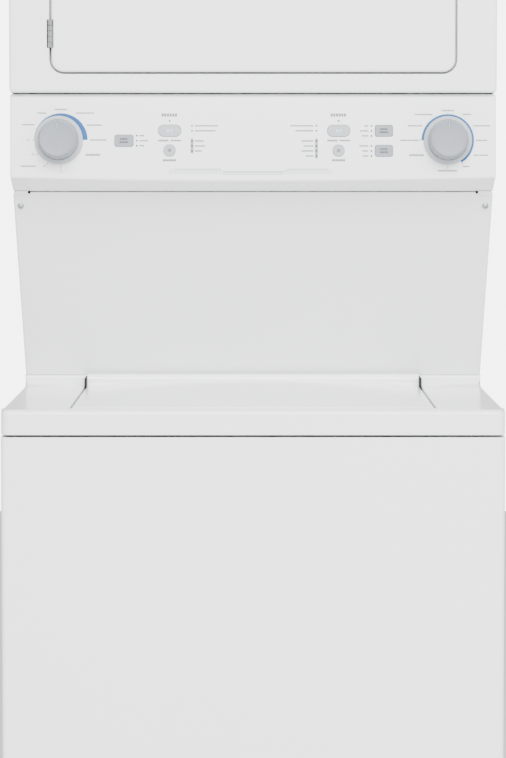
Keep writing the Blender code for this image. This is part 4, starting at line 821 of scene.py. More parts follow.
bumper = turn("lid_bumper_left", [(0, 0.0036), (0.0030, 0.0036), (0.0048, 0.0026), (0.0055, 0.0),
              (0, 0.0)], (-LID_HALF + 0.014, LID_FRONT + 0.012, FLOOR_Z), "Z", 24)
smooth(bumper)
done(bumper, rubber, "chassis", "rubber")
done(copy_of(bumper, "lid_bumper_right", (2 * LID_HALF - 0.028, 0, 0)), rubber, "chassis", "rubber")

# %% [markdown]
# ## Levelling feet and base
# Each foot is turned: a wide rubber-soled pad, a waist, a hex collar and a threaded stem. One is
# modelled and copied to the four places that the CAD gives.

# %% Feet
foot_names = ["leveling_foot_front_left", "leveling_foot_front_right",
              "leveling_foot_rear_left", "leveling_foot_rear_right"]
first_low, first_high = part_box(foot_names[0])
foot_at = ((first_low.x + first_high.x) / 2, (first_low.y + first_high.y) / 2, 0)
foot_radius = (first_high.x - first_low.x) / 2
foot_top = first_high.z
pad = turn("foot_pad", [(0, 0), (foot_radius - 0.0022, 0), (foot_radius - 0.0006, 0.0010),
           (foot_radius, 0.0026), (foot_radius, 0.0075), (foot_radius - 0.0015, 0.0095),
           (0.0110, 0.0120), (0.0078, 0.0150), (0.0072, 0.0205), (0, 0.0205)], foot_at, "Z", 48)
collar = turn("foot_collar", [(0, 0.0200), (0.0100, 0.0200), (0.0110, 0.0210), (0.0110, 0.0285),
              (0.0100, 0.0295), (0, 0.0295)], foot_at, "Z", 6)
thread = [(0, 0.0290)]
turns = 12
for k in range(turns):
    base = 0.0290 + (foot_top - 0.0290) * k / turns
    thread += [(0.0044, base), (0.0050, base + 0.0006)]
thread += [(0.0044, foot_top), (0, foot_top)]
stem = turn("foot_stem", thread, foot_at, "Z", 24)
foot = join("levelling_foot_1", pad, collar, stem)
smooth(foot, 35)
feet = [foot]
for k, name in enumerate(foot_names[1:]):
    low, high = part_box(name)
    shift = ((low.x + high.x) / 2 - foot_at[0], (low.y + high.y) / 2 - foot_at[1], 0)
    feet.append(copy_of(foot, "levelling_foot_%d" % (k + 2), shift))
for ob, name in zip(feet, foot_names):
    done(ob, rubber, "chassis", "rubber", name)

# %% [markdown]
# Beside each end of the rolled edge a narrow gap between the lid and the deck's recess is dark
# with shade. A thin black block stands in each gap as painted shade, and shows as a short dark slot.

# %% Painted shade in the lid's side gaps
for side, name in ((-1, "left"), (1, "right")):
    x0, x1 = sorted((side * (LID_HALF + 0.0003), side * (LID_HALF + 0.0027)))
    # a black block in the gap beside the lid: painted shade
    gap_shade_block = add_block("lid_gap_shade_" + name, (x0, -0.030, DECK_Z - 0.006), (x1, 0.0170, DECK_Z + 0.0135))
    round_edges(gap_shade_block, 0.0005, 2, 40)
    done(gap_shade_block, painted_gap_shade, "chassis", "rubber")

# %% [markdown]
# ## Neck
# Between the machines a wide sheet leans forward from the deck's ledge to the console. It is a flat
# pressing with its two sides folded back. It starts as an upright block, and its top corners are
# then moved forward, so that the fold lines stay straight.

# %% Slanted neck panel
neck_low, neck_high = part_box("neck_panel")
NECK_FOOT_Y = 0.022
NECK_TOP_Y = neck_low.y
neck = add_block("neck_slanted_panel", (-HALF, NECK_FOOT_Y, neck_low.z), (HALF, neck_high.y, neck_high.z))
pick(neck, "VERT", lambda c, way: near(c.z, neck_high.z))
bpy.ops.transform.translate(value=(0, NECK_TOP_Y - NECK_FOOT_Y, 0))
leave()
bend(neck, 0.0035, lambda c, way: abs(abs(c.x) - HALF) < TINY and abs(way.x) < 0.1 and abs(way.y) > 0.3
     and c.y < (NECK_FOOT_Y + NECK_TOP_Y) / 2 + 0.005, 4)
drop(neck, lambda c, way: way.y > 0.4 or abs(way.z) > 0.95)
wall(neck, SHEET)
pick(neck, "FACE")
bpy.ops.mesh.bisect(plane_co=(0, 0, neck_high.z), plane_no=(0, 0, 1), use_fill=True, clear_outer=True)
leave()
face_out(neck)
smooth(neck)
done(neck, enamel, "chassis", "painted", "neck_panel")

# %% Neck sides and back
side_low, side_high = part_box("neck_frame")
NECK_DEEP = neck_high.y - NECK_FOOT_Y + 0.0019
outline = [(-HALF, NECK_FOOT_Y + NECK_DEEP, side_low.z), (-HALF, side_high.y, side_low.z),
           (-HALF, side_high.y, side_high.z), (-HALF, NECK_TOP_Y + NECK_DEEP, side_high.z)]
sides = draw_section("neck_side_and_back_sheet", outline, fill=True)
pick(sides, "FACE")
bpy.ops.mesh.extrude_region_move(TRANSFORM_OT_translate={"value": (2 * HALF, 0, 0)})
leave()
face_out(sides)
bend(sides, 0.0050, lambda c, way: near(c.y, side_high.y) and abs(abs(c.x) - HALF) < TINY, 4)
drop(sides, lambda c, way: abs(way.z) > 0.9 or way.y < -0.5)
wall(sides, SHEET)
ribs = [bead("neck_rib_%d" % k, (x - 0.055, 1.045), (x + 0.055, 1.063), side_high.y, 0.0020)
        for k, x in enumerate((-0.19, 0.0, 0.19))]
combine(sides, *ribs, operation="UNION")
smooth(sides)
done(sides, enamel, "chassis", "painted", "neck_frame")

# %% [markdown]
# Two pan-head screws hold the slanted panel near its top corners. The head is a turned dome on a
# thin skirt with a cross recess, cut by two small blocks. It stands square to the leaning sheet.

# %% Panel screws
LEAN = math.atan2(NECK_FOOT_Y - NECK_TOP_Y, neck_high.z - neck_low.z)
SCREW_Z = 1.238
screw_y = NECK_TOP_Y + (neck_high.z - SCREW_Z) * math.tan(LEAN)
SCREW_X = 0.3330


def pan_screw(name, at, radius=0.0048):
    """A pan-head screw that faces the front, at a point of a panel's surface."""
    head = turn(name, [(0, -0.0030), (radius * 0.35, -0.0030), (radius * 0.70, -0.0025),
                (radius * 0.92, -0.0015), (radius, -0.0004), (radius, 0.0002), (0, 0.0002)], at, "Y", 32)
    x, y, z = at
    arms = []
    for wide, tall in ((0.0028, 0.0008), (0.0008, 0.0028)):
        arms.append(add_block("arm", (x - wide, y - 0.01, z - tall), (x + wide, y - 0.0014, z + tall)))
    combine(head, *arms)
    return head


def panel_screw(name, x):
    head = pan_screw(name, (x, screw_y, SCREW_Z))
    tip(head, LEAN, (x, screw_y, SCREW_Z))
    return smooth(head, 30)


for name, x in (("neck_screw_left", -SCREW_X), ("neck_screw_right", SCREW_X)):
    done(panel_screw(name, x), zinc_plate, "chassis", "zinc")

# %% [markdown]
# ## Dryer cabinet
# Two sides and the top are one sheet, open in front, behind and below, and stepped back at its
# lower front to let the console in. The top's side edges are rolled over 10 mm.

# %% Dryer cabinet
shell_low, shell_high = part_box("dryer_cabinet")
console_low, console_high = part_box("console")
STEP_Y = console_high.y + 0.0015
STEP_Z = console_high.z + 0.0015
outline = [(shell_low.y, STEP_Z), (shell_low.y, shell_high.z), (shell_high.y, shell_high.z),
           (shell_high.y, shell_low.z), (STEP_Y, shell_low.z), (STEP_Y, STEP_Z)]
shell = draw_section("dryer_wrapper", [(-HALF, y, z) for y, z in outline], fill=True)
pick(shell, "FACE")
bpy.ops.mesh.extrude_region_move(TRANSFORM_OT_translate={"value": (2 * HALF, 0, 0)})
leave()
face_out(shell)
TOP_ROLL = 0.010
bend(shell, TOP_ROLL, lambda c, way: near(c.z, shell_high.z) and abs(abs(c.x) - HALF) < TINY, 8)
drop(shell, lambda c, way: way.z < -0.9 or abs(way.y) > 0.9)
wall(shell, SHEET)
smooth(shell)
done(shell, enamel, "chassis", "painted", "dryer_cabinet")

# %% [markdown]
# ## Dryer front
# The front is a shallow pan with a deep tray pressed into it for the door. A round-cornered way in
# leads through the tray's floor, with a collar behind it that reaches the drum. The pan is made by
# hand as a block without its back. The tray, the way in and the collar are rounded blocks that are
# cut or joined, because their outlines differ. A last small bevel is the radius of every fold.

# %% Rounded blocks
def rounded_block(name, left, right, low, high, near_y, far_y, radius, steps=8):
    """A block with its four edges along Y rounded, seen from the front as a rounded rectangle."""
    ob = add_block(name, (left, near_y, low), (right, far_y, high))
    if radius:
        bend(ob, radius, lambda c, way: abs(way.y) > 0.9, steps)
    return ob


def grown(name, outline, by, near_y, far_y, steps=8):
    """A rounded block on an outline (left, right, low, high, radius), grown by a margin."""
    left, right, low, high, radius = outline
    return rounded_block(name, left - by, right + by, low - by, high + by, near_y, far_y,
                         radius + by, steps)


DOOR = (-0.2850, 0.2860, 1.4260, 1.8640, 0.0190)     # left, right, low, high, corner radius
WAY_IN = (-0.200, 0.200, 1.485, 1.805, 0.060)
HALF_GAP = 0.0015
pan_low, pan_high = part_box("dryer_front_panel")
DRYER_Y = pan_low.y
PAN_BACK = DRYER_Y + 0.0295
POCKET_Y = DRYER_Y + 0.0215
COLLAR_Y = pan_high.y

# %% Dryer front panel
pan = add_block("dryer_front_pressing", (-HALF, DRYER_Y, pan_low.z), (HALF, PAN_BACK, pan_high.z))
bend(pan, TOP_ROLL, lambda c, way: abs(way.y) > 0.9 and near(c.z, pan_high.z), 8)
bend(pan, 0.0055, lambda c, way: abs(way.y) > 0.9 and near(c.z, pan_low.z), 4)
drop(pan, lambda c, way: way.y > 0.9)
bend(pan, 0.0045, lambda c, way: near(c.y, DRYER_Y), 5)
wall(pan, SHEET)
tray = grown("tray", DOOR, HALF_GAP + SHEET, DRYER_Y + 0.0002, POCKET_Y + SHEET)
combine(pan, tray, operation="UNION")
combine(pan, grown("hollow", DOOR, HALF_GAP, DRYER_Y - 0.02, POCKET_Y))
combine(pan, grown("way", WAY_IN, 0.0, DRYER_Y - 0.02, PAN_BACK + 0.02))
collar = grown("collar", WAY_IN, 0.0020, POCKET_Y + SHEET / 2, COLLAR_Y)
combine(collar, grown("bore", WAY_IN, 0.0005, POCKET_Y - 0.01, COLLAR_Y + 0.01))
combine(pan, collar, operation="UNION")
lint_low, lint_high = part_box("lint_filter")
combine(pan, add_block("slot", (lint_low.x - 0.001, lint_low.y - 0.001, WAY_IN[2] - 0.02),
                       (lint_high.x + 0.001, lint_high.y + 0.001, WAY_IN[2] + 0.01)))
catch_low, catch_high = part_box("dryer_door_catch")
catch_x = (catch_low.x + catch_high.x) / 2
catch_z = (catch_low.z + catch_high.z) / 2
combine(pan, rounded_block("well", catch_x - 0.006, catch_x + 0.006, catch_z - 0.018, catch_z + 0.018,
                           POCKET_Y - 0.01, POCKET_Y + 0.012, 0.003, 4))
HINGES = [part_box("hinge_lower_panel_leaf"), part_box("hinge_upper_panel_leaf")]
BARREL = 0.0033
HINGE_X = DOOR[0]
for low, high in HINGES:
    combine(pan, add_block("room", (HINGE_X - BARREL - 0.0015, DRYER_Y - 0.01, low.z - 0.0006),
                           (HINGE_X + 0.0005, DRYER_Y + BARREL + 0.0015, high.z + 0.0006)))
round_edges(pan, 0.0006, 2, 50)
smooth(pan, 35)
done(pan, enamel, "chassis", "painted", "dryer_front_panel")

# %% [markdown]
# ## Dryer door
# The door is two pans, one over the other. The outer skin has rolled edges and a hand grip let into
# it, away from the hinges. The inner pan has a raised plug that fills the way in, dished to save
# weight, with a soft seal round it. A shallow ring is pressed into the plug, as on a real door, so
# that its flat is stiff.

# %% Door skin
skin = grown("dryer_door_pressing", DOOR, -HALF_GAP, DRYER_Y, DRYER_Y + 0.0175)
drop(skin, lambda c, way: way.y > 0.9)
bend(skin, 0.0040, lambda c, way: near(c.y, DRYER_Y), 5)
wall(skin, SHEET)
grip_low, grip_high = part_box("dryer_door_grip")
MOUTH_GAP = 0.0003
combine(skin, rounded_block("mouth", grip_low.x - MOUTH_GAP, grip_high.x + MOUTH_GAP,
                            grip_low.z - MOUTH_GAP, grip_high.z + MOUTH_GAP,
                            DRYER_Y - 0.01, DRYER_Y + 0.004, 0.008, 6))
for low, high in HINGES:
    combine(skin, add_block("room", (HINGE_X - 0.005, DRYER_Y - 0.01, low.z - 0.0006),
                            (HINGE_X + BARREL + 0.0015, DRYER_Y + BARREL + 0.0015, high.z + 0.0006)))
smooth(skin, 35)
done(skin, enamel, "dryer_door", "painted", "dryer_door_skin")

# %% Hand grip
cup = rounded_block("door_grip_cup", grip_low.x, grip_high.x, grip_low.z, grip_high.z,
                    grip_low.y, grip_high.y, 0.0077, 6)
pick(cup, "FACE", lambda c, way: way.y < -0.9)
bpy.ops.mesh.inset(thickness=0.0016)
bpy.ops.mesh.extrude_region_move(TRANSFORM_OT_translate={"value": (0, grip_high.y - grip_low.y - 0.0016, 0)})
bpy.ops.transform.resize(value=(0.86, 1, 0.95), center_override=(
    grip_high.x - 0.004, grip_high.y, (grip_low.z + grip_high.z) / 2))
leave()
round_edges(cup, 0.0008, 3, 30)
smooth(cup, 40)
done(cup, key_grey, "dryer_door", "grey_plastic", "dryer_door_grip")

# %% Door liner and seal
liner_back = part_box("dryer_door_liner")[1].y
DOOR_BACK = DRYER_Y + 0.0175
liner = grown("dryer_door_inner_pan", DOOR, -HALF_GAP - SHEET - 0.0003, DOOR_BACK - 0.0040, DOOR_BACK - 0.0020)
plug_back = DOOR_BACK + 0.0130
combine(liner, grown("plug", WAY_IN, -0.008, DOOR_BACK - 0.0035, plug_back), operation="UNION")
combine(liner, grown("dish", WAY_IN, -0.010, DOOR_BACK - 0.02, plug_back - 0.0020))
ring = grown("ring", WAY_IN, -0.040, plug_back - 0.0012, plug_back + 0.01)
combine(ring, grown("inside", WAY_IN, -0.056, plug_back - 0.02, plug_back + 0.02))
combine(liner, ring)
strike_back = liner_back if liner_back < POCKET_Y + 0.009 else POCKET_Y + 0.008
strike = rounded_block("strike", catch_x - 0.003, catch_x + 0.003, catch_z - 0.014, catch_z + 0.014,
                       DOOR_BACK - 0.0030, strike_back, 0.0012, 3)
combine(liner, strike, operation="UNION")
round_edges(liner, 0.0007, 2, 50)
smooth(liner, 35)
done(liner, enamel, "dryer_door", "painted", "dryer_door_liner")

seal_low, seal_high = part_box("dryer_door_seal")
seal = grown("dryer_door_gasket", WAY_IN, 0.016, seal_low.y, seal_high.y)
combine(seal, grown("inside", WAY_IN, 0.006, seal_low.y - 0.01, seal_high.y + 0.01))
round_edges(seal, 0.0006, 2, 50)
smooth(seal, 40)
done(seal, rubber, "dryer_door", "rubber", "dryer_door_seal")

catch = rounded_block("door_latch_body", catch_low.x, catch_high.x, catch_low.z, catch_high.z,
                      catch_low.y, catch_high.y, 0.0040, 4)
combine(catch, rounded_block("well", catch_x - 0.006, catch_x + 0.006, catch_z - 0.018, catch_z + 0.018,
                             catch_low.y - 0.01, catch_high.y - 0.003, 0.003, 4))
round_edges(catch, 0.0005, 2, 50)
smooth(catch, 40)
done(catch, key_grey, "chassis", "grey_plastic", "dryer_door_catch")

# %% [markdown]
# ## Door hinges
# Each hinge is a butt hinge with five knuckles on one pin. The first, third and fifth belong to the
# panel's leaf, the other two to the door's. A knuckle is a short turned barrel with worn edges, and
# a small gap between barrels is what tells the eye that it turns.

# %% Hinges
KNUCKLES = 5


def hinge_leaf(name, low, high, first, inward):
    """One leaf with every second knuckle. inward is +1 for the door's leaf, -1 for the panel's."""
    base, length = low.z, high.z - low.z
    pitch = length / KNUCKLES
    parts = []
    for k in range(first, KNUCKLES, 2):
        start, end = base + k * pitch + 0.0002, base + (k + 1) * pitch - 0.0002
        soft = 0.0004
        parts.append(turn("knuckle", [(0, start), (BARREL - soft, start), (BARREL, start + soft),
                     (BARREL, end - soft), (BARREL - soft, end), (0, end)], (HINGE_X, DRYER_Y, 0), "Z", 32))
        tab_x = HINGE_X + 0.0004 * inward
        parts.append(add_block("tab", (min(tab_x, tab_x + 0.0006 * inward), DRYER_Y + 0.0010, start),
                               (max(tab_x, tab_x + 0.0006 * inward), DRYER_Y + 0.0050, end)))
    leaf_x = HINGE_X + 0.0004 * inward
    parts.append(add_block("leaf", (min(leaf_x, leaf_x + 0.0006 * inward), DRYER_Y + 0.0045, base + 0.0003),
                           (max(leaf_x, leaf_x + 0.0006 * inward), DRYER_Y + 0.0128, high.z - 0.0003)))
    ob = parts[0]
    for part in parts[1:]:
        combine(ob, part, operation="UNION")
    ob.name = ob.data.name = name
    return smooth(ob, 35)


for level, (low, high) in zip(("lower", "upper"), HINGES):
    done(hinge_leaf("hinge_barrel_%s_panel" % level, low, high, 0, -1), steel_pin, "chassis",
         "stainless", "hinge_%s_panel_leaf" % level)
    done(hinge_leaf("hinge_barrel_%s_door" % level, low, high, 1, 1), steel_pin, "dryer_door",
         "stainless", "hinge_%s_door_leaf" % level)

# %% [markdown]
# ## Dryer back
# The back panel is galvanised, not painted. It has a pressed ring round the drum's bearing, louvres
# that let air in to the heater, the exhaust duct's hole and the power inlet. A row of hex screws
# holds it to the cabinet.

# %% Dryer rear panel
rear_low, rear_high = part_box("dryer_rear_panel")
BACK_Y = rear_high.y
back = rounded_block("dryer_back_sheet", rear_low.x, rear_high.x, rear_low.z, rear_high.z,
                     BACK_Y - SHEET, BACK_Y, TOP_ROLL - SHEET, 6)
duct_low, duct_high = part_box("exhaust_duct")
duct_at = ((duct_low.x + duct_high.x) / 2, 0, (duct_low.z + duct_high.z) / 2)
duct_radius = (duct_high.x - duct_low.x) / 2
gland_low, gland_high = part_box("power_inlet_gland")
gland_at = ((gland_low.x + gland_high.x) / 2, 0, (gland_low.z + gland_high.z) / 2)
drum_low, drum_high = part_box("dryer_drum")
DRUM_AT = ((drum_low.x + drum_high.x) / 2, 0, (drum_low.z + drum_high.z) / 2)
ridge_points = [(0.190, BACK_Y - SHEET / 2), (0.193, BACK_Y + 0.0022), (0.207, BACK_Y + 0.0022),
                (0.210, BACK_Y - SHEET / 2), (0.190, BACK_Y - SHEET / 2)]
combine(back, turn("ridge", ridge_points, DRUM_AT, "Y", 96), operation="UNION")
boss = turn("boss", [(0.030, BACK_Y - SHEET / 2), (0.030, rear_low.y), (0.0105, rear_low.y),
            (0.0105, BACK_Y - SHEET / 2), (0.030, BACK_Y - SHEET / 2)], DRUM_AT, "Y", 48)
combine(back, boss, operation="UNION")
for k in range(7):
    z = 1.435 + 0.013 * k
    louvre = add_block("louvre", (-0.070, BACK_Y - 0.0010, z), (0.070, BACK_Y + 0.0040, z + 0.0065))
    pick(louvre, "EDGE", lambda c, way: near(c.y, BACK_Y + 0.0040) and near(c.z, z + 0.0065))
    bpy.ops.transform.translate(value=(0, -0.0045, 0))
    leave()
    combine(back, louvre, operation="UNION")
combine(back, turn("hole", [(0, -0.02), (duct_radius + 0.0015, -0.02), (duct_radius + 0.0015, 0.02),
                   (0, 0.02)], (duct_at[0], BACK_Y, duct_at[2]), "Y", 64))
combine(back, turn("hole", [(0, -0.02), (0.0113, -0.02), (0.0113, 0.02), (0, 0.02)],
                   (gland_at[0], BACK_Y, gland_at[2]), "Y", 32))
smooth(back, 35)
done(back, galvanised, "chassis", "zinc", "dryer_rear_panel")

count = len(rear_places) + 1
for x in (-0.325, -0.165, 0.0, 0.165, 0.325):
    for z in (rear_low.z + 0.016, rear_high.z - 0.016):
        shift = (x - (PLATE[0] + 0.009), BACK_Y - (wrap_high.y + 0.0014), z - (PLATE[1] + 0.009))
        count += 1
        done(copy_of(screw, "rear_screw_%d" % count, shift), zinc_plate, "chassis", "zinc")

# %% [markdown]
# The exhaust duct is rolled from thin sheet, with a bead near its end that a hose clip grips. The
# power inlet is a rubber gland with a lip on the outside.

# %% Duct, gland and water valve
DUCT_END = duct_high.y
tube = [(duct_radius - 0.0012, duct_low.y), (duct_radius - 0.0003, duct_low.y),
        (duct_radius - 0.0003, DUCT_END - 0.0085), (duct_radius, DUCT_END - 0.0070),
        (duct_radius - 0.0003, DUCT_END - 0.0055), (duct_radius - 0.0003, DUCT_END - 0.0004),
        (duct_radius - 0.0006, DUCT_END), (duct_radius - 0.0012, DUCT_END - 0.0004),
        (duct_radius - 0.0012, duct_low.y)]
duct = turn("dryer_exhaust_tube", tube, duct_at, "Y", 96)
smooth(duct, 35)
done(duct, galvanised, "chassis", "zinc", "exhaust_duct")

gland_radius = (gland_high.x - gland_low.x) / 2
g0, g1 = gland_low.y, gland_high.y
gland = turn("power_inlet_bush", [(0.0070, g0), (0.0105, g0), (0.0110, g0 + 0.001),
             (0.0110, BACK_Y + 0.0004), (gland_radius - 0.0006, BACK_Y + 0.0004),
             (gland_radius, BACK_Y + 0.0012), (gland_radius, g1 - 0.0022),
             (gland_radius - 0.0012, g1 - 0.0006), (0.0090, g1), (0.0078, g1),
             (0.0070, g1 - 0.001), (0.0070, g0)], gland_at, "Y", 48)
smooth(gland, 40)
done(gland, rubber, "chassis", "rubber", "power_inlet_gland")

valve = add_block("water_valve_block", (valve_low.x, valve_low.y, valve_low.z),
                  (valve_high.x, valve_low.y + 0.055, valve_high.z))
bend(valve, 0.006, lambda c, way: abs(way.y) > 0.9, 4)
for side in (-1, 1):
    spot = (VALVE_X + side * VALVE_APART, 0, VALVE_Z)
    groove = [(0, valve_low.y + 0.045), (0.0125, valve_low.y + 0.045)]
    start_y = wrap_high.y + 0.0014
    for k in range(6):
        y = start_y + (valve_high.y - start_y - 0.001) * k / 6
        groove += [(0.0116, y), (0.0125, y + 0.0009)]
    groove += [(0.0116, valve_high.y), (0, valve_high.y)]
    combine(valve, turn("thread", groove, spot, "Y", 40), operation="UNION")
    combine(valve, turn("bore", [(0, valve_low.y + 0.03), (0.0090, valve_low.y + 0.03),
                        (0.0090, valve_high.y + 0.01), (0, valve_high.y + 0.01)], spot, "Y", 32))
smooth(valve, 35)
done(valve, pump_pp, "chassis", "grey_plastic", "water_inlet_valve")

# %% [markdown]
# ## Console
# One wide moulding holds all the controls. Its section runs from the open back over a rolled top
# edge, down a face that leans back by four degrees, and in again along a slanting band. The section
# is drawn once and extruded in short steps, because the edge between face and band is not straight:
# it bows down by 5 mm in the middle, so the points on it are lowered station by station.

# %% Console shell
CONSOLE_TILT = math.radians(4.0)
FACE_Y = -0.232
FACE_MID = 1.338
FACE_BASE = 1.2790
BOW = 0.0050
TOP_Z, BASE_Z, CONSOLE_BACK = console_high.z, console_low.z, console_high.y
BAND_Y = -0.188
TOP_EDGE = 0.007
CONSOLE_HALF = console_high.x
STATIONS = 24


def face_y(z):
    """Front of the leaning face at a height."""
    return FACE_Y + math.tan(CONSOLE_TILT) * (z - FACE_MID)


roll_z = TOP_Z - TOP_EDGE
roll_y = face_y(roll_z) + TOP_EDGE
outline = [(CONSOLE_BACK, BASE_Z), (CONSOLE_BACK, TOP_Z)]
for k in range(9):
    a = math.radians(90 + 90 * k / 8)
    outline.append((roll_y + TOP_EDGE * math.cos(a), roll_z + TOP_EDGE * math.sin(a)))
outline += [(face_y(FACE_BASE), FACE_BASE), (BAND_Y, BASE_Z)]
console = draw_section("console_moulding", [(-CONSOLE_HALF, y, z) for y, z in outline], fill=True)
pick(console, "FACE")
for k in range(STATIONS):
    step = (2 * CONSOLE_HALF / STATIONS, 0, 0)
    bpy.ops.mesh.extrude_region_move(TRANSFORM_OT_translate={"value": step})
leave()
face_out(console)
for k in range(STATIONS + 1):
    x = CONSOLE_HALF * (2 * k / STATIONS - 1)
    pick(console, "VERT", lambda c, way: near(c.x, x, 1e-4) and near(c.z, FACE_BASE, 1e-4))
    bpy.ops.transform.translate(value=(0, 0, -BOW * (1 - (x / CONSOLE_HALF) ** 2)))
    leave()
drop(console, lambda c, way: way.y > 0.9)
bend(console, 0.0026, lambda c, way: abs(abs(c.x) - CONSOLE_HALF) < TINY and c.y < CONSOLE_BACK - 0.001
     and abs(way.x) < 0.1, 4)
bend(console, 0.0030, lambda c, way: abs(way.x) > 0.9 and FACE_BASE - BOW - 0.001 < c.z < FACE_BASE + 0.0005
     and c.y < face_y(FACE_BASE) + 0.001, 4)
wall(console, MOULDED)

# %% [markdown]
# Everything on the leaning face is made upright, in the plane y = FACE_Y, and then tipped about the
# middle of the face. So a key, a printed line and a hole for a shaft all use plain x and z.

# %% Keys and the holes they stand in
FACE_POINT = Vector((0, FACE_Y, FACE_MID))
KEY_RAISE = 0.0018
KEY_STEM = 0.010
KEY_GAP = 0.0005
KEYS = {
    "dryer_temperature_button": (1.3310, 0.0080, 0.0030, key_grey, "button_grey"),
    "dryer_start_button": (1.3452, 0.0080, 0.0078, key_light, "button_light"),
    "dryer_cancel_button": (1.3172, 0.0080, 0.0078, key_light, "button_light"),
    "washer_start_button": (1.3450, 0.0080, 0.0078, key_light, "button_light"),
    "washer_cancel_button": (1.3170, 0.0080, 0.0078, key_light, "button_light"),
    "wash_temperature_button": (1.3450, 0.0078, 0.0030, key_grey, "button_grey"),
    "load_size_button": (1.3168, 0.0078, 0.0030, key_grey, "button_grey"),
}
KNOB_Z = {"dryer_knob": 1.3320, "washer_knob": 1.3315}


def on_face(ob):
    """Tips a piece made in the upright plane onto the leaning face."""
    return tip(ob, -CONSOLE_TILT, FACE_POINT)


def key_place(name):
    """Middle and half width of a key, from its CAD node."""
    low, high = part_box(name)
    return (low.x + high.x) / 2, (high.x - low.x) / 2


for name, (z, half_high, radius, paint, slot) in KEYS.items():
    x, half_wide = key_place(name)
    hole = rounded_block("hole", x - half_wide - KEY_GAP, x + half_wide + KEY_GAP,
                         z - half_high - KEY_GAP, z + half_high + KEY_GAP,
                         FACE_Y - 0.01, FACE_Y + 0.010, radius + 0.0003, 8)
    combine(console, on_face(hole))
    # the key's front is a shallow dish inside a narrow rim
    key = rounded_block(name.replace("button", "key"), x - half_wide, x + half_wide, z - half_high,
                        z + half_high, FACE_Y - KEY_RAISE, FACE_Y + KEY_STEM, radius, 8)
    pick(key, "FACE", lambda c, way: way.y < -0.9)
    bpy.ops.mesh.inset(thickness=0.0011)
    bpy.ops.transform.translate(value=(0, 0.00035, 0))
    leave()
    round_edges(key, 0.00045, 3, 20)
    on_face(key)
    smooth(key, 40)
    done(key, paint, name, slot, name)

knob_x = {}
for name, z in KNOB_Z.items():
    low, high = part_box(name)
    knob_x[name] = (low.x + high.x) / 2
    hole = turn("hole", [(0, -0.01), (0.0040, -0.01), (0.0040, 0.01), (0, 0.01)],
                (knob_x[name], FACE_Y, z), "Y", 32)
    combine(console, on_face(hole))
smooth(console, 35)
done(console, console_abs, "chassis", "console_plastic", "console")

# %% [markdown]
# ## Knobs
# A knob is a satin skirt, a tall cap and a pale pointer let into the cap's top. Skirt and cap are
# turned, with a rounded rim where the cap's side meets its dished top. The skirt is a lighter grey
# than the cap, so it is a piece of its own. The cap's side is plain: its fine finger ribs are
# not modelled.

# %% Knobs
SKIRT, CAP, KNOB_TALL = 0.034, 0.0285, 0.033
CLEAR = 0.0010


def knob_parts(name, z):
    x = knob_x[name]
    at = (x, FACE_Y, z)
    skirt = turn(name + "_skirt", [(0, 0.0135), (0.0029, 0.0135), (0.0029, -CLEAR), (SKIRT - 0.0008, -CLEAR),
                 (SKIRT, -CLEAR - 0.0008), (SKIRT, -CLEAR - 0.0026), (SKIRT - 0.0004, -CLEAR - 0.0036),
                 (SKIRT - 0.0014, -CLEAR - 0.0042), (CAP + 0.0022, -CLEAR - 0.0052),
                 (CAP + 0.0006, -CLEAR - 0.0060), (CAP + 0.0002, -CLEAR - 0.0052), (0, -CLEAR - 0.0052)],
                 at, "Y", 96)
    cap = turn(name + "_cap", [(0, -CLEAR - 0.0050), (CAP - 0.0008, -CLEAR - 0.0050),
               (CAP - 0.0006, -0.0085), (CAP - 0.0012, -0.0200), (CAP - 0.0020, -KNOB_TALL + 0.0032),
               (CAP - 0.0024, -KNOB_TALL + 0.0016), (CAP - 0.0034, -KNOB_TALL + 0.0004),
               (CAP - 0.0048, -KNOB_TALL), (CAP - 0.0060, -KNOB_TALL + 0.0004),
               (CAP - 0.0072, -KNOB_TALL + 0.0011), (0.0120, -KNOB_TALL + 0.0016), (0, -KNOB_TALL + 0.0017)],
               at, "Y", 96)
    slot_low, slot_high = z + 0.0115, z + 0.0235
    groove = rounded_block("groove", x - 0.0016, x + 0.0016, slot_low, slot_high,
                           FACE_Y - 0.04, FACE_Y - KNOB_TALL + 0.0024, 0.0012, 5)
    combine(cap, groove)
    mark = rounded_block(name + "_pointer", x - 0.0013, x + 0.0013, slot_low + 0.0003, slot_high - 0.0003,
                         FACE_Y - KNOB_TALL + 0.0006, FACE_Y - KNOB_TALL + 0.0023, 0.0010, 5)
    round_edges(mark, 0.0003, 2, 40)
    for ob in (skirt, cap, mark):
        on_face(ob)
        smooth(ob, 40)
    return skirt, cap, mark


for name, z in KNOB_Z.items():
    skirt, cap, mark = knob_parts(name, z)
    done(skirt, knob_rim, name, "knob_plastic", name)
    done(cap, knob_paint, name, "knob_plastic")
    done(mark, ink_pale, name, "button_light")

# %% [markdown]
# ## Printing
# The legends are screen printed. They carry no real words: a legend is a row of small open loops at
# the height and spacing of lettering, so the panel reads as labelled without saying anything. One
# loop is made from a block with its middle pushed through, and an array repeats it. The timer's
# numbers are plain numerals. Ink stands 0.08 mm above the plastic.

# %% Printed marks
INK = 0.00008
SUNK = 0.00020
INK_BODY = "chassis"


def printed(name, left, right, low, high, radius=0.0):
    """A printed patch on the face, upright until it is tipped."""
    return rounded_block(name, left, right, low, high, FACE_Y - INK, FACE_Y + SUNK, radius, 6)


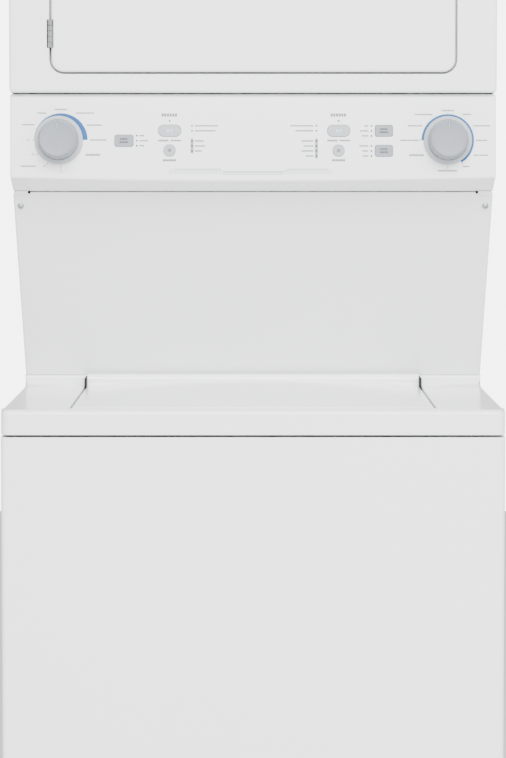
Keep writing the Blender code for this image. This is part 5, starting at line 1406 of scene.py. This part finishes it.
def legend(name, x, z, width, tall=0.0019, anchor=0):
    """A row of letter-like loops. anchor is -1 to start at x, 0 to centre on it, 1 to end there."""
    count = max(2, round(width / (tall * 0.92)))
    pitch = width / count
    left = x - width * (anchor + 1) / 2
    letter = printed(name, left, left + pitch * 0.72, z - tall / 2, z + tall / 2)
    pick(letter, "FACE", lambda c, way: abs(way.y) > 0.9)
    bpy.ops.mesh.inset(thickness=min(pitch * 0.72, tall) * 0.40)
    bpy.ops.mesh.delete(type="FACE")
    leave()
    pick(letter, "EDGE", lambda c, way: left + TINY < c.x < left + pitch * 0.72 - TINY
         and z - tall / 2 + TINY < c.z < z + tall / 2 - TINY and abs(way.y) < 0.1)
    bpy.ops.mesh.bridge_edge_loops()
    leave()
    return apply(letter, "ARRAY", count=count, use_relative_offset=False, use_constant_offset=True,
                 constant_offset_displace=(pitch, 0, 0))


def numeral(name, text, x, z, tall):
    """A printed number, as a mesh in the plane of the face."""
    bpy.ops.object.select_all(action="DESELECT")
    bpy.ops.object.text_add(location=(0, 0, 0))
    ob = bpy.context.object
    ob.data.body = text
    ob.data.size = tall * 1.4
    ob.data.align_x = "CENTER"
    ob.data.align_y = "CENTER"
    ob.data.extrude = (INK + SUNK) / 2
    ob.rotation_euler = (math.pi / 2, 0, 0)
    ob.location = (x, FACE_Y + (SUNK - INK) / 2, z)
    bpy.ops.object.convert(target="MESH")
    ob = bpy.context.object
    bpy.ops.object.transform_apply(location=True, rotation=True, scale=True)
    ob.name = ob.data.name = name
    return face_out(ob)


def arc_strip(name, x, z, inner, outer, start, stop, steps=48):
    """A printed arc of its own width at each end: inner and outer are (radius, x shift) pairs."""
    (r0, s0), (r1, s1) = inner, outer
    points = []
    for k in range(steps + 1):
        a = math.radians(start + (stop - start) * k / steps)
        points.append((x + s1 + r1 * math.cos(a), FACE_Y - INK, z + r1 * math.sin(a)))
    for k in range(steps, -1, -1):
        a = math.radians(start + (stop - start) * k / steps)
        points.append((x + s0 + r0 * math.cos(a), FACE_Y - INK, z + r0 * math.sin(a)))
    ob = draw_section(name, points, fill=True)
    pick(ob, "FACE")
    bpy.ops.mesh.extrude_region_move(TRANSFORM_OT_translate={"value": (0, INK + SUNK, 0)})
    leave()
    return face_out(ob)


def tick(name, x, z, angle, near_r, far_r, wide=0.0006):
    """A radial tick mark beside a dial, at an angle in degrees from the right."""
    ob = printed(name, x + near_r, x + far_r, z - wide / 2, z + wide / 2)
    return tip(ob, -math.radians(angle), (x, FACE_Y, z), "Y")


def print_all(name, ink, slot, parts):
    """Joins printed parts, tips them onto the face and finishes them as one piece."""
    ob = join(name, *parts)
    on_face(ob)
    return done(ob, ink, INK_BODY, slot)


# %% [markdown]
# The blue arc beside each dial spans the automatic cycles. On the dryer it is a half circle that
# is thin on the left and thick on the right, because its two edges have different middles. On the
# washer it goes on round the right side. A paler line of ice-blue ink lies outside each.

# %% Dial arcs and ticks
DRYER_DIAL = (knob_x["dryer_knob"] + 0.0030, KNOB_Z["dryer_knob"])
WASHER_DIAL = (knob_x["washer_knob"], KNOB_Z["washer_knob"])
dryer_arc = arc_strip("dryer_arc", *DRYER_DIAL, (0.0318, -0.0012), (0.0376, 0.0), 0, 180)
washer_arc = arc_strip("washer_arc", *WASHER_DIAL, (0.0320, 0.0), (0.0370, 0.0), -58, 180, 64)
print_all("printed_dryer_cycle_arc", ink_blue, "console_plastic", [dryer_arc])
print_all("printed_washer_cycle_arc", ink_blue, "console_plastic", [washer_arc])
halo = [arc_strip("halo_a", *DRYER_DIAL, (0.0378, 0.0), (0.0384, 0.0), 2, 178),
        arc_strip("halo_b", *WASHER_DIAL, (0.0372, 0.0), (0.0378, 0.0), -56, 178, 64)]
print_all("printed_arc_outlines", ink_halo, "console_plastic", halo)
ticks = [tick("t", *DRYER_DIAL, angle, 0.0365, 0.0405) for angle in (180, 211, 240, 270)]
ticks += [tick("t", *DRYER_DIAL, angle, 0.0388, 0.0408, 0.0004) for angle in (22, 48, 90, 126, 156)]
ticks += [tick("t", *WASHER_DIAL, angle, 0.0365, 0.0405) for angle in (180, 270, 302)]
ticks += [tick("t", *WASHER_DIAL, angle, 0.0382, 0.0402, 0.0004) for angle in (-24, 0, 24, 52, 90, 128, 156)]
print_all("printed_dial_ticks", ink_dark, "console_plastic", ticks)

# %% [markdown]
# The legends round each dial are placed from its middle, in millimetres: across, up, length.

# %% Dial legends
DRYER_WORDS = [(0, 43, 18), (-27, 38, 13), (34, 38, 26), (47.5, 21, 21), (53, 0, 23), (-46, 21.5, 18),
               (-46, -37, 21)]
WASHER_WORDS = [(0, 42, 18), (27, 36.5, 12), (48, 20.5, 24), (48, 0, 16), (47, -21, 21), (26, -37, 10),
                (0, -43, 28), (-34, 36.5, 25), (-46, 20.5, 21), (-54, 0, 26)]
words = []
for (dial_x, dial_z), rows in ((DRYER_DIAL, DRYER_WORDS), (WASHER_DIAL, WASHER_WORDS)):
    for across, rise, length in rows:
        words.append(legend("w", dial_x + across * MM, dial_z + rise * MM, length * MM))
words.append(legend("w", DRYER_DIAL[0] + 0.0455, DRYER_DIAL[1] - 0.021, 0.021, 0.0026))
words.append(legend("w", WASHER_DIAL[0] - 0.0440, WASHER_DIAL[1] - 0.021, 0.021, 0.0026))
for text, across, rise in (("60", -46, 0), ("40", -40, -20.5), ("20", -23, -37), ("15", 0, -44)):
    words.append(numeral("n", text, DRYER_DIAL[0] + across * MM, DRYER_DIAL[1] + rise * MM, 0.0026))
print_all("printed_dial_legends", ink_dark, "console_plastic", words)

# %% [markdown]
# The middle of the panel has two blocks that mirror each other: a heading, a lamp, the start key
# with its legend, the cancel key with its legend, and a column of lamps with short legends. Each
# row is 7 mm from the next.

# %% Centre legends and lamps
ROW = 0.00705
lamps, words, strips = [], [], []


def lamp_dot(x, z):
    """A smoked lamp lens: a low dome that stands a little out of the face."""
    lamps.append(turn("lamp", [(0, -0.0007), (0.0006, -0.00062), (0.0011, -0.0003), (0.0013, 0.0),
                 (0.0013, SUNK), (0, SUNK)], (x, FACE_Y, z), "Y", 20))


for x, side, lamp_x, widths, tall in (
        (-0.1176, 1, -0.0860, (33, 29.5, 13, 15, 10), 0.0042),
        (0.1209, -1, 0.0895, (33, 25.5, 17, 14, 17, 11), 0.0042)):
    words.append(legend("w", x, 1.3672, 0.0225, tall))
    lamp_dot(x, 1.3590)
    words.append(legend("w", x - 0.0085, 1.3312, 0.0150, 0.0026))
    words.append(legend("w", x + 0.0090, 1.3312, 0.0150, 0.0022))
    words.append(legend("w", x, 1.3034, 0.0190, 0.0028))
    heights = [1.3520, 1.3520 - ROW] + [1.3306 - ROW * k for k in range(len(widths) - 2)]
    for z, width in zip(heights, widths):
        lamp_dot(lamp_x, z)
        words.append(legend("w", lamp_x + side * 0.0040, z, width * MM, 0.0019, -side))
    strips.append(printed("strip", lamp_x - 0.0021, lamp_x + 0.0021, heights[-1] - 0.0036,
                          heights[2] + 0.0036, 0.0019))
for x, z, side, widths in ((-0.1639, 1.3310, 1, (7, 12.5, 7)), (0.1670, 1.3448, -1, (6, 12, 9.5)),
                           (0.1670, 1.3165, -1, (13, 9, 8.5))):
    for k, width in enumerate(widths):
        lamp_dot(x, z + ROW * (1 - k))
        words.append(legend("w", x + side * 0.0038, z + ROW * (1 - k), width * MM, 0.0019, -side))
print_all("printed_lamp_strips", ink_pale, "console_plastic", strips)
print_all("printed_centre_legends", ink_dark, "console_plastic", words)
lens_set = join("lamp_lenses", *lamps)
on_face(lens_set)
smooth(lens_set, 50)
done(lens_set, smoked, "chassis", "console_plastic")

# %% [markdown]
# A band of tiny dots under the centre is the panel's only ornament: a plain halftone with a thin
# line over it, which steps down in the middle. One dot is an array along x, and then in rows.

# %% Halftone band
def dots(name, left, right, top, rows, size, pitch):
    dot = printed(name, left, left + size, top - size, top, size * 0.3)
    apply(dot, "ARRAY", count=int((right - left) / pitch), use_relative_offset=False,
          use_constant_offset=True, constant_offset_displace=(pitch, 0, 0))
    return apply(dot, "ARRAY", count=rows, use_relative_offset=False, use_constant_offset=True,
                 constant_offset_displace=(0, 0, -pitch))


LINE = 0.0007
band = [printed("line", -0.110, -0.046, 1.2905, 1.2905 + LINE),
        printed("line", 0.048, 0.106, 1.2905, 1.2905 + LINE),
        printed("line", -0.0425, 0.0445, 1.2870, 1.2870 + LINE)]
for x0, x1, z0, z1 in ((-0.046, -0.0425, 1.2905, 1.2870), (0.048, 0.0445, 1.2905, 1.2870)):
    slope = printed("slope", min(x0, x1), max(x0, x1), z1, z1 + LINE)
    pick(slope, "VERT", lambda c, way: near(c.x, x0))
    bpy.ops.transform.translate(value=(0, 0, z0 - z1))
    leave()
    band.append(slope)
band += [dots("d", -0.118, -0.044, 1.2895, 3, 0.0009, 0.0020),
         dots("d", 0.046, 0.112, 1.2895, 3, 0.0009, 0.0020),
         dots("d", -0.0425, 0.0445, 1.2862, 2, 0.0011, 0.0020)]
print_all("printed_halftone_band", ink_pale, "console_plastic", band)

# %% [markdown]
# The keys carry two glyphs and some short legends. They ride on their own key, so they move in with
# it. Play and pause are a triangle and two bars, cancel is a cross.

# %% Key glyphs
GLYPH_Y = FACE_Y - KEY_RAISE + 0.00035


def on_key(ob):
    """Moves a printed part forward from the face to the key's dished top."""
    pick(ob, "VERT")
    bpy.ops.transform.translate(value=(0, GLYPH_Y - FACE_Y, 0))
    leave()
    return ob


def play_pause(x, z):
    play = draw_section("play", [(x - 0.0036, FACE_Y - INK, z - 0.0026), (x + 0.0006, FACE_Y - INK, z),
                        (x - 0.0036, FACE_Y - INK, z + 0.0026)], fill=True)
    pick(play, "FACE")
    bpy.ops.mesh.extrude_region_move(TRANSFORM_OT_translate={"value": (0, INK + SUNK, 0)})
    leave()
    bars = [printed("bar", x + a, x + a + 0.0009, z - 0.0026, z + 0.0026) for a in (0.0014, 0.0032)]
    return [face_out(play)] + bars


def cross(x, z):
    arms = []
    for turn_by in (45, -45):
        arm = printed("arm", x - 0.0036, x + 0.0036, z - 0.00045, z + 0.00045, 0.0004)
        arms.append(tip(arm, math.radians(turn_by), (x, FACE_Y, z), "Y"))
    return arms


def two_words(x, z):
    return [legend("w", x, z + 0.0022, 0.0105, 0.0024), legend("w", x, z - 0.0022, 0.0120, 0.0024)]


for name, (z, half_high, radius, paint, slot) in KEYS.items():
    x, half_wide = key_place(name)
    if "start" in name:
        parts, ink = play_pause(x, z), ink_halo
    elif "cancel" in name:
        parts, ink = cross(x, z), ink_dark
    else:
        parts, ink = two_words(x, z), ink_dark
    glyph = join(name.replace("button", "glyph"), *[on_key(part) for part in parts])
    on_face(glyph)
    done(glyph, ink, name, slot)

# %% [markdown]
# Under each end of the console a small moulded lug hooks over the neck panel. Beside it a small
# black block is painted shade: the dark notch where the shadowed gap under the console ends.

# %% Console lugs and the painted shade beside them
for side, name in ((-1, "left"), (1, "right")):
    x0, x1 = sorted((side * 0.3390, side * 0.3215))
    lug = add_block("console_lug_" + name, (x0, BAND_Y - 0.0030, BASE_Z - 0.0055),
                    (x1, BAND_Y + 0.0010, BASE_Z + 0.0002))
    pick(lug, "VERT", lambda c, way: near(c.z, BASE_Z - 0.0055) and c.y < BAND_Y)
    bpy.ops.transform.translate(value=(0, 0.0022, 0))
    leave()
    round_edges(lug, 0.0009, 3, 30)
    smooth(lug, 40)
    done(lug, console_abs, "chassis", "console_plastic")
    # the notch is a small black block: painted shade
    x0, x1 = sorted((side * 0.3212, side * 0.3180))
    notch_shade = add_block("console_notch_shade_" + name, (x0, BAND_Y - 0.0022, BASE_Z - 0.0036),
                      (x1, BAND_Y + 0.0010, BASE_Z - 0.0004))
    round_edges(notch_shade, 0.0006, 3, 30)
    done(notch_shade, painted_gap_shade, "chassis", "rubber")

# %% [markdown]
# ## Dryer drum
# Through the open door one sees an enamelled drum: a rolled sheet with a rounded lip, a pressed rear
# wall with a ring of air holes, and three baffles that lift the clothes. The drum is turned from its
# section. Each air hole is cut by a small turned peg. A baffle is a tapered block whose upper edges
# are rounded wide, and the three are copies, each with its own mesh, turned about the drum's axis.

# %% Drum shell
DRUM_R = (drum_high.x - drum_low.x) / 2
DRUM_LIP_R = DRUM_R - 0.023
drum_front, drum_rear = drum_low.y, BACK_Y - 0.040
section = [(0, drum_high.y), (0.010, drum_high.y), (0.010, drum_rear)]
section += [(DRUM_R - 0.008, drum_rear), (DRUM_R - 0.002, drum_rear - 0.002), (DRUM_R, drum_rear - 0.008)]
section += [(DRUM_R, drum_front + 0.022), (DRUM_R - 0.003, drum_front + 0.015),
            (DRUM_LIP_R + 0.004, drum_front + 0.002), (DRUM_LIP_R + 0.001, drum_front),
            (DRUM_LIP_R - SHEET, drum_front + 0.001), (DRUM_LIP_R - 0.0005, drum_front + 0.003),
            (DRUM_R - 0.0045, drum_front + 0.0160), (DRUM_R - SHEET, drum_front + 0.022)]
section += [(DRUM_R - SHEET, drum_rear - 0.009), (DRUM_R - 0.0035, drum_rear - 0.0045),
            (DRUM_R - 0.009, drum_rear - SHEET), (0.170, drum_rear - SHEET), (0.162, drum_rear - 0.0050),
            (0.150, drum_rear - 0.0050), (0.142, drum_rear - SHEET), (0, drum_rear - SHEET)]
drum = turn("dryer_drum_shell", section, DRUM_AT, "Y", 96)
AIR_RINGS = ((0.060, 12), (0.085, 18), (0.110, 24))
pegs = []
for ring_r, count in AIR_RINGS:
    for k in range(count):
        a = 2 * math.pi * k / count
        at = Vector(DRUM_AT) + Vector((ring_r * math.cos(a), 0, ring_r * math.sin(a)))
        pegs.append(turn("peg", [(0, drum_rear - 0.01), (0.0042, drum_rear - 0.01),
                    (0.0042, drum_rear + 0.004), (0, drum_rear + 0.004)], at, "Y", 12))
combine(drum, join("pegs", *pegs))
smooth(drum, 35)
done(drum, drum_enamel, "drum", "painted", "dryer_drum")

# %% Baffles
BAFFLE_FOOT, BAFFLE_CREST, BAFFLE_TALL = 0.029, 0.010, 0.055
foot_z = DRUM_AT[2] - DRUM_R + SHEET + 0.0018
baffle = add_block("drum_baffle_1", (-BAFFLE_FOOT, drum_front + 0.035, foot_z),
                   (BAFFLE_FOOT, drum_rear - 0.012, foot_z + BAFFLE_TALL - 0.004))
pick(baffle, "FACE", lambda c, way: way.z > 0.9)
bpy.ops.transform.resize(value=(BAFFLE_CREST / BAFFLE_FOOT, 0.92, 1))
leave()
bend(baffle, 0.0080, lambda c, way: c.z > foot_z + BAFFLE_TALL - 0.006, 6)
bend(baffle, 0.0120, lambda c, way: abs(way.y) > 0.3 and abs(way.z) < 0.8
     and foot_z + 0.004 < c.z < foot_z + BAFFLE_TALL - 0.014, 4)
round_edges(baffle, 0.0010, 2, 40)
for k in range(3):
    one = baffle if k == 2 else copy_of(baffle, "drum_baffle_%d" % (k + 2))
    tip(one, 2 * math.pi * k / 3, DRUM_AT, "Y")
    smooth(one, 40)
    done(one, agitator_pp, "drum", "tub_plastic")

# %% [markdown]
# ## Wash basket
# The basket is stainless sheet, rolled and then pierced with hundreds of small holes. The wall
# starts as a fine turned tube. Every second face is chosen by its height and its angle, inset on its
# own, and opened. A subdivision then rounds the square openings, and a solidify gives the sheet.

# %% Basket wall
tub_low, tub_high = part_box("outer_tub")
basket_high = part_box("wash_basket")[1]
ring_low, ring_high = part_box("balance_ring")
TUB_AT = Vector(((tub_low.x + tub_high.x) / 2, (tub_low.y + tub_high.y) / 2, 0))
BASKET_R = basket_high.x
BASKET_FLOOR = 0.370
COLUMNS, HOLE_ROWS = 72, 20
hole_base, hole_top = BASKET_FLOOR + 0.035, ring_low.z - 0.035
row_step = (hole_top - hole_base) / HOLE_ROWS
section = [(BASKET_R - 0.0008, ring_low.z - 0.0003), (BASKET_R - 0.0008, hole_top)]
section += [(BASKET_R - 0.0008, hole_top - row_step * k) for k in range(1, HOLE_ROWS + 1)]
section += [(BASKET_R - 0.0008, BASKET_FLOOR + 0.022), (BASKET_R - 0.0070, BASKET_FLOOR + 0.0065),
            (BASKET_R - 0.0220, BASKET_FLOOR + 0.0006), (0.0240, BASKET_FLOOR + 0.0006)]
basket = turn("wash_basket_shell", section, TUB_AT, "Z", COLUMNS)


def pierced(c, way):
    """Every second face of every second row, staggered like a real pattern."""
    if not hole_base < c.z < hole_top or abs(way.z) > 0.5:
        return False
    row = int((hole_top - c.z) / row_step)
    column = int((math.atan2(c.y - TUB_AT.y, c.x - TUB_AT.x) + math.pi) / (2 * math.pi) * COLUMNS)
    return (row + column) % 2 == 0


count = pick(basket, "FACE", pierced)
bpy.ops.mesh.inset(thickness=0.0066, use_individual=True)
bpy.ops.mesh.delete(type="FACE")
leave()
apply(basket, "SUBSURF", levels=1, subdivision_type="CATMULL_CLARK")
apply(basket, "SOLIDIFY", thickness=0.0013, offset=0.0)
smooth(basket, 60)
print(count, "holes in the basket wall")
done(basket, stainless, "basket", "stainless", "wash_basket")

# %% Balance ring
RING_MID = (BASKET_R + 0.004 + 0.225) / 2
section = [(0.2250, ring_low.z + 0.006), (0.2262, ring_low.z + 0.0015), (0.2300, ring_low.z),
           (BASKET_R + 0.0020, ring_low.z), (BASKET_R + 0.0040, ring_low.z + 0.002),
           (BASKET_R + 0.0040, ring_high.z - 0.006), (BASKET_R + 0.0020, ring_high.z - 0.0015),
           (BASKET_R - 0.0020, ring_high.z), (RING_MID + 0.008, ring_high.z),
           (RING_MID + 0.006, ring_high.z - 0.002), (RING_MID - 0.006, ring_high.z - 0.002),
           (RING_MID - 0.008, ring_high.z), (0.2310, ring_high.z), (0.2268, ring_high.z - 0.0020),
           (0.2250, ring_high.z - 0.0070), (0.2250, ring_low.z + 0.006)]
balance = turn("balance_ring_moulding", section, TUB_AT, "Z", 96)
round_edges(balance, 0.0006, 2, 30)
smooth(balance, 40)
done(balance, agitator_pp, "basket", "tub_plastic", "balance_ring")

# %% [markdown]
# ## Water tub
# The tub is polypropylene, with a splash ring that covers the gap round the basket. Its outside has
# upright ribs, as moulded tubs do, though only the ring is seen through the lid.

# %% Outer tub
TUB_R, TUB_FLOOR, TUB_WALL = tub_high.x - 0.006, tub_low.z, 0.0030
RIM = tub_high.z - 0.014
section = [(TUB_R, RIM - 0.006), (TUB_R, TUB_FLOOR + 0.022), (TUB_R - 0.006, TUB_FLOOR + 0.006),
           (TUB_R - 0.022, TUB_FLOOR), (0.0345, TUB_FLOOR), (0.0345, TUB_FLOOR + TUB_WALL),
           (TUB_R - 0.023, TUB_FLOOR + TUB_WALL), (TUB_R - 0.0085, TUB_FLOOR + 0.0085),
           (TUB_R - TUB_WALL, TUB_FLOOR + 0.023), (TUB_R - TUB_WALL, RIM),
           (0.2260, RIM + 0.0045), (0.2205, RIM + 0.0040), (0.2190, RIM + 0.0055), (0.2190, RIM + 0.0120),
           (0.2205, RIM + 0.0138), (0.2235, RIM + 0.0130), (0.2500, RIM + 0.0118), (TUB_R, RIM + 0.0100),
           (TUB_R + 0.0045, RIM + 0.0080), (TUB_R + 0.0060, RIM + 0.0050), (TUB_R + 0.0060, RIM - 0.0050),
           (TUB_R + 0.0050, RIM - 0.0060), (TUB_R, RIM - 0.0060)]
tub = turn("water_tub", section, TUB_AT, "Z", 96)
smooth(tub, 30)
done(tub, tub_pp, "chassis", "tub_plastic", "outer_tub")
for k in range(16):
    rib = add_block("tub_rib_%02d" % (k + 1), (TUB_R - 0.001, -0.0012, TUB_FLOOR + 0.030),
                    (TUB_R + 0.0045, 0.0012, RIM - 0.012))
    pick(rib, "VERT")
    bpy.ops.transform.translate(value=TUB_AT)
    leave()
    round_edges(rib, 0.0008, 2, 40)
    tip(rib, 2 * math.pi * (k + 0.5) / 16, TUB_AT, "Z")
    smooth(rib, 40)
    done(rib, tub_pp, "chassis", "tub_plastic")

# %% [markdown]
# ## Agitator
# The post is turned, wide at its skirt and slim at its cap. Four curved fins stand on the skirt and
# climb the post. A fin is drawn as a side view, given its thickness, and rounded along its free edge.

# %% Agitator
post_low, post_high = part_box("agitator")
POST_TOP, POST_BASE = post_high.z, post_low.z
section = [(0, POST_TOP), (0.016, POST_TOP - 0.0005), (0.022, POST_TOP - 0.003), (0.027, POST_TOP - 0.008),
           (0.0305, POST_TOP - 0.018), (0.0300, POST_TOP - 0.021), (0.0290, POST_TOP - 0.022),
           (0.0300, POST_TOP - 0.024), (0.0340, POST_TOP - 0.080), (0.0362, POST_TOP - 0.150),
           (0.0480, POST_TOP - 0.235), (0.0700, POST_BASE + 0.110), (0.0950, POST_BASE + 0.060),
           (0.1290, POST_BASE + 0.024), (0.1440, POST_BASE + 0.013), (0.1500, POST_BASE + 0.006),
           (0.1500, POST_BASE), (0.1470, POST_BASE), (0.1280, POST_BASE + 0.018), (0.0660, POST_BASE + 0.090),
           (0.0122, POST_BASE + 0.100), (0.0122, POST_TOP - 0.180), (0, POST_TOP - 0.180)]
post = turn("agitator_post", section, TUB_AT, "Z", 96)
fin_line = [(0.030, 0.100), (0.144, 0.012), (0.1495, 0.022), (0.1380, 0.060), (0.1080, 0.120),
            (0.0860, 0.200), (0.0760, 0.300), (0.0600, 0.312), (0.030, 0.320)]
FINS = 4
for k in range(FINS):
    fin = draw_section("fin", [TUB_AT + Vector((x, -0.0028, POST_BASE + z)) for x, z in fin_line], fill=True)
    pick(fin, "FACE")
    bpy.ops.mesh.extrude_region_move(TRANSFORM_OT_translate={"value": (0, 0.0056, 0)})
    leave()
    face_out(fin)
    round_edges(fin, 0.0022, 4, 60)
    tip(fin, math.radians(45 + 360 * k / FINS), TUB_AT, "Z")
    combine(post, fin, operation="UNION")
smooth(post, 35)
done(post, agitator_pp, "agitator_and_shaft", "tub_plastic", "agitator")
cap_cross = add_block("agitator_cap_bar", TUB_AT + Vector((-0.0125, -0.0022, POST_TOP - 0.0012)),
                      TUB_AT + Vector((0.0125, 0.0022, POST_TOP)))
round_edges(cap_cross, 0.0009, 3, 40)
smooth(cap_cross, 40)
done(cap_cross, tub_pp, "agitator_and_shaft", "tub_plastic")

# %% [markdown]
# ## Lint screen
# The screen lifts out of the door's sill. Its frame is a thin moulding with three windows, and each
# window holds a fine mesh. The mesh is a grid whose wires are kept by a wireframe modifier.

# %% Lint screen
screen = rounded_block("lint_screen_frame", lint_low.x, lint_high.x, lint_low.z, lint_high.z,
                       lint_low.y, lint_high.y, 0.0020, 4)
WINDOW_HALF, PITCH = 0.034, 0.076
window_low, window_high = lint_low.z + 0.008, lint_high.z - 0.022
for k in (-1, 0, 1):
    combine(screen, rounded_block("window", k * PITCH - WINDOW_HALF, k * PITCH + WINDOW_HALF, window_low,
                                  window_high, lint_low.y - 0.01, lint_high.y + 0.01, 0.004, 4))
combine(screen, rounded_block("finger", -0.024, 0.024, lint_high.z - 0.0045, lint_high.z + 0.01,
                              lint_low.y - 0.01, lint_high.y + 0.01, 0.0040, 4))
round_edges(screen, 0.0007, 2, 45)
smooth(screen, 40)
done(screen, agitator_pp, "lint_screen", "tub_plastic", "lint_filter")
for k in (-1, 0, 1):
    bpy.ops.object.select_all(action="DESELECT")
    bpy.ops.mesh.primitive_grid_add(x_subdivisions=26, y_subdivisions=20, size=1)
    mesh = bpy.context.object
    mesh.name = mesh.data.name = "lint_mesh_%d" % (k + 2)
    wide, tall = 2 * WINDOW_HALF + 0.001, window_high - window_low + 0.001
    place = Matrix.Translation((k * PITCH, lint_high.y - 0.0012, (window_low + window_high) / 2))
    mesh.data.transform(place @ Matrix.Rotation(math.pi / 2, 4, "X") @ Matrix.Diagonal((wide, tall, 1, 1)))
    apply(mesh, "WIREFRAME", thickness=0.0005, use_even_offset=False)
    done(mesh, stainless, "lint_screen", "stainless")

# %% [markdown]
# ## Pieces that stay as they are
# Pans, ducts, belts, pulleys and motors are hidden, or seen only through a gap, and their CAD shapes
# are true already. They only need their finishes.

# %% Finishes for the hidden pieces
HIDDEN = {
    "blower_housing": galvanised, "console_mounting_plate": galvanised, "dryer_base_pan": galvanised,
    "front_bulkhead": galvanised, "heater_housing": galvanised, "lint_duct": galvanised,
    "suspension_dome": galvanised, "washer_base_pan": galvanised, "drive_shaft_and_pulley": cast,
    "transmission": cast, "washer_belt": rubber, "dryer_belt": rubber, "washer_motor": motor_paint,
    "dryer_motor": motor_paint, "washer_motor_pulley": zinc_plate, "dryer_motor_pulley": zinc_plate,
    "blower_wheel": pump_pp, "drain_pump": pump_pp,
}
for name, paint in HIDDEN.items():
    node = bpy.data.objects[name]
    node.data.materials.clear()
    node.data.materials.append(paint)
print(len(HIDDEN), "hidden pieces finished")

# %% [markdown]
# ## The size of the CAD model
# The box of the CAD model, as it was loaded, is printed.

# %% Finish
print("CAD box", list(cad_low), list(cad_high))
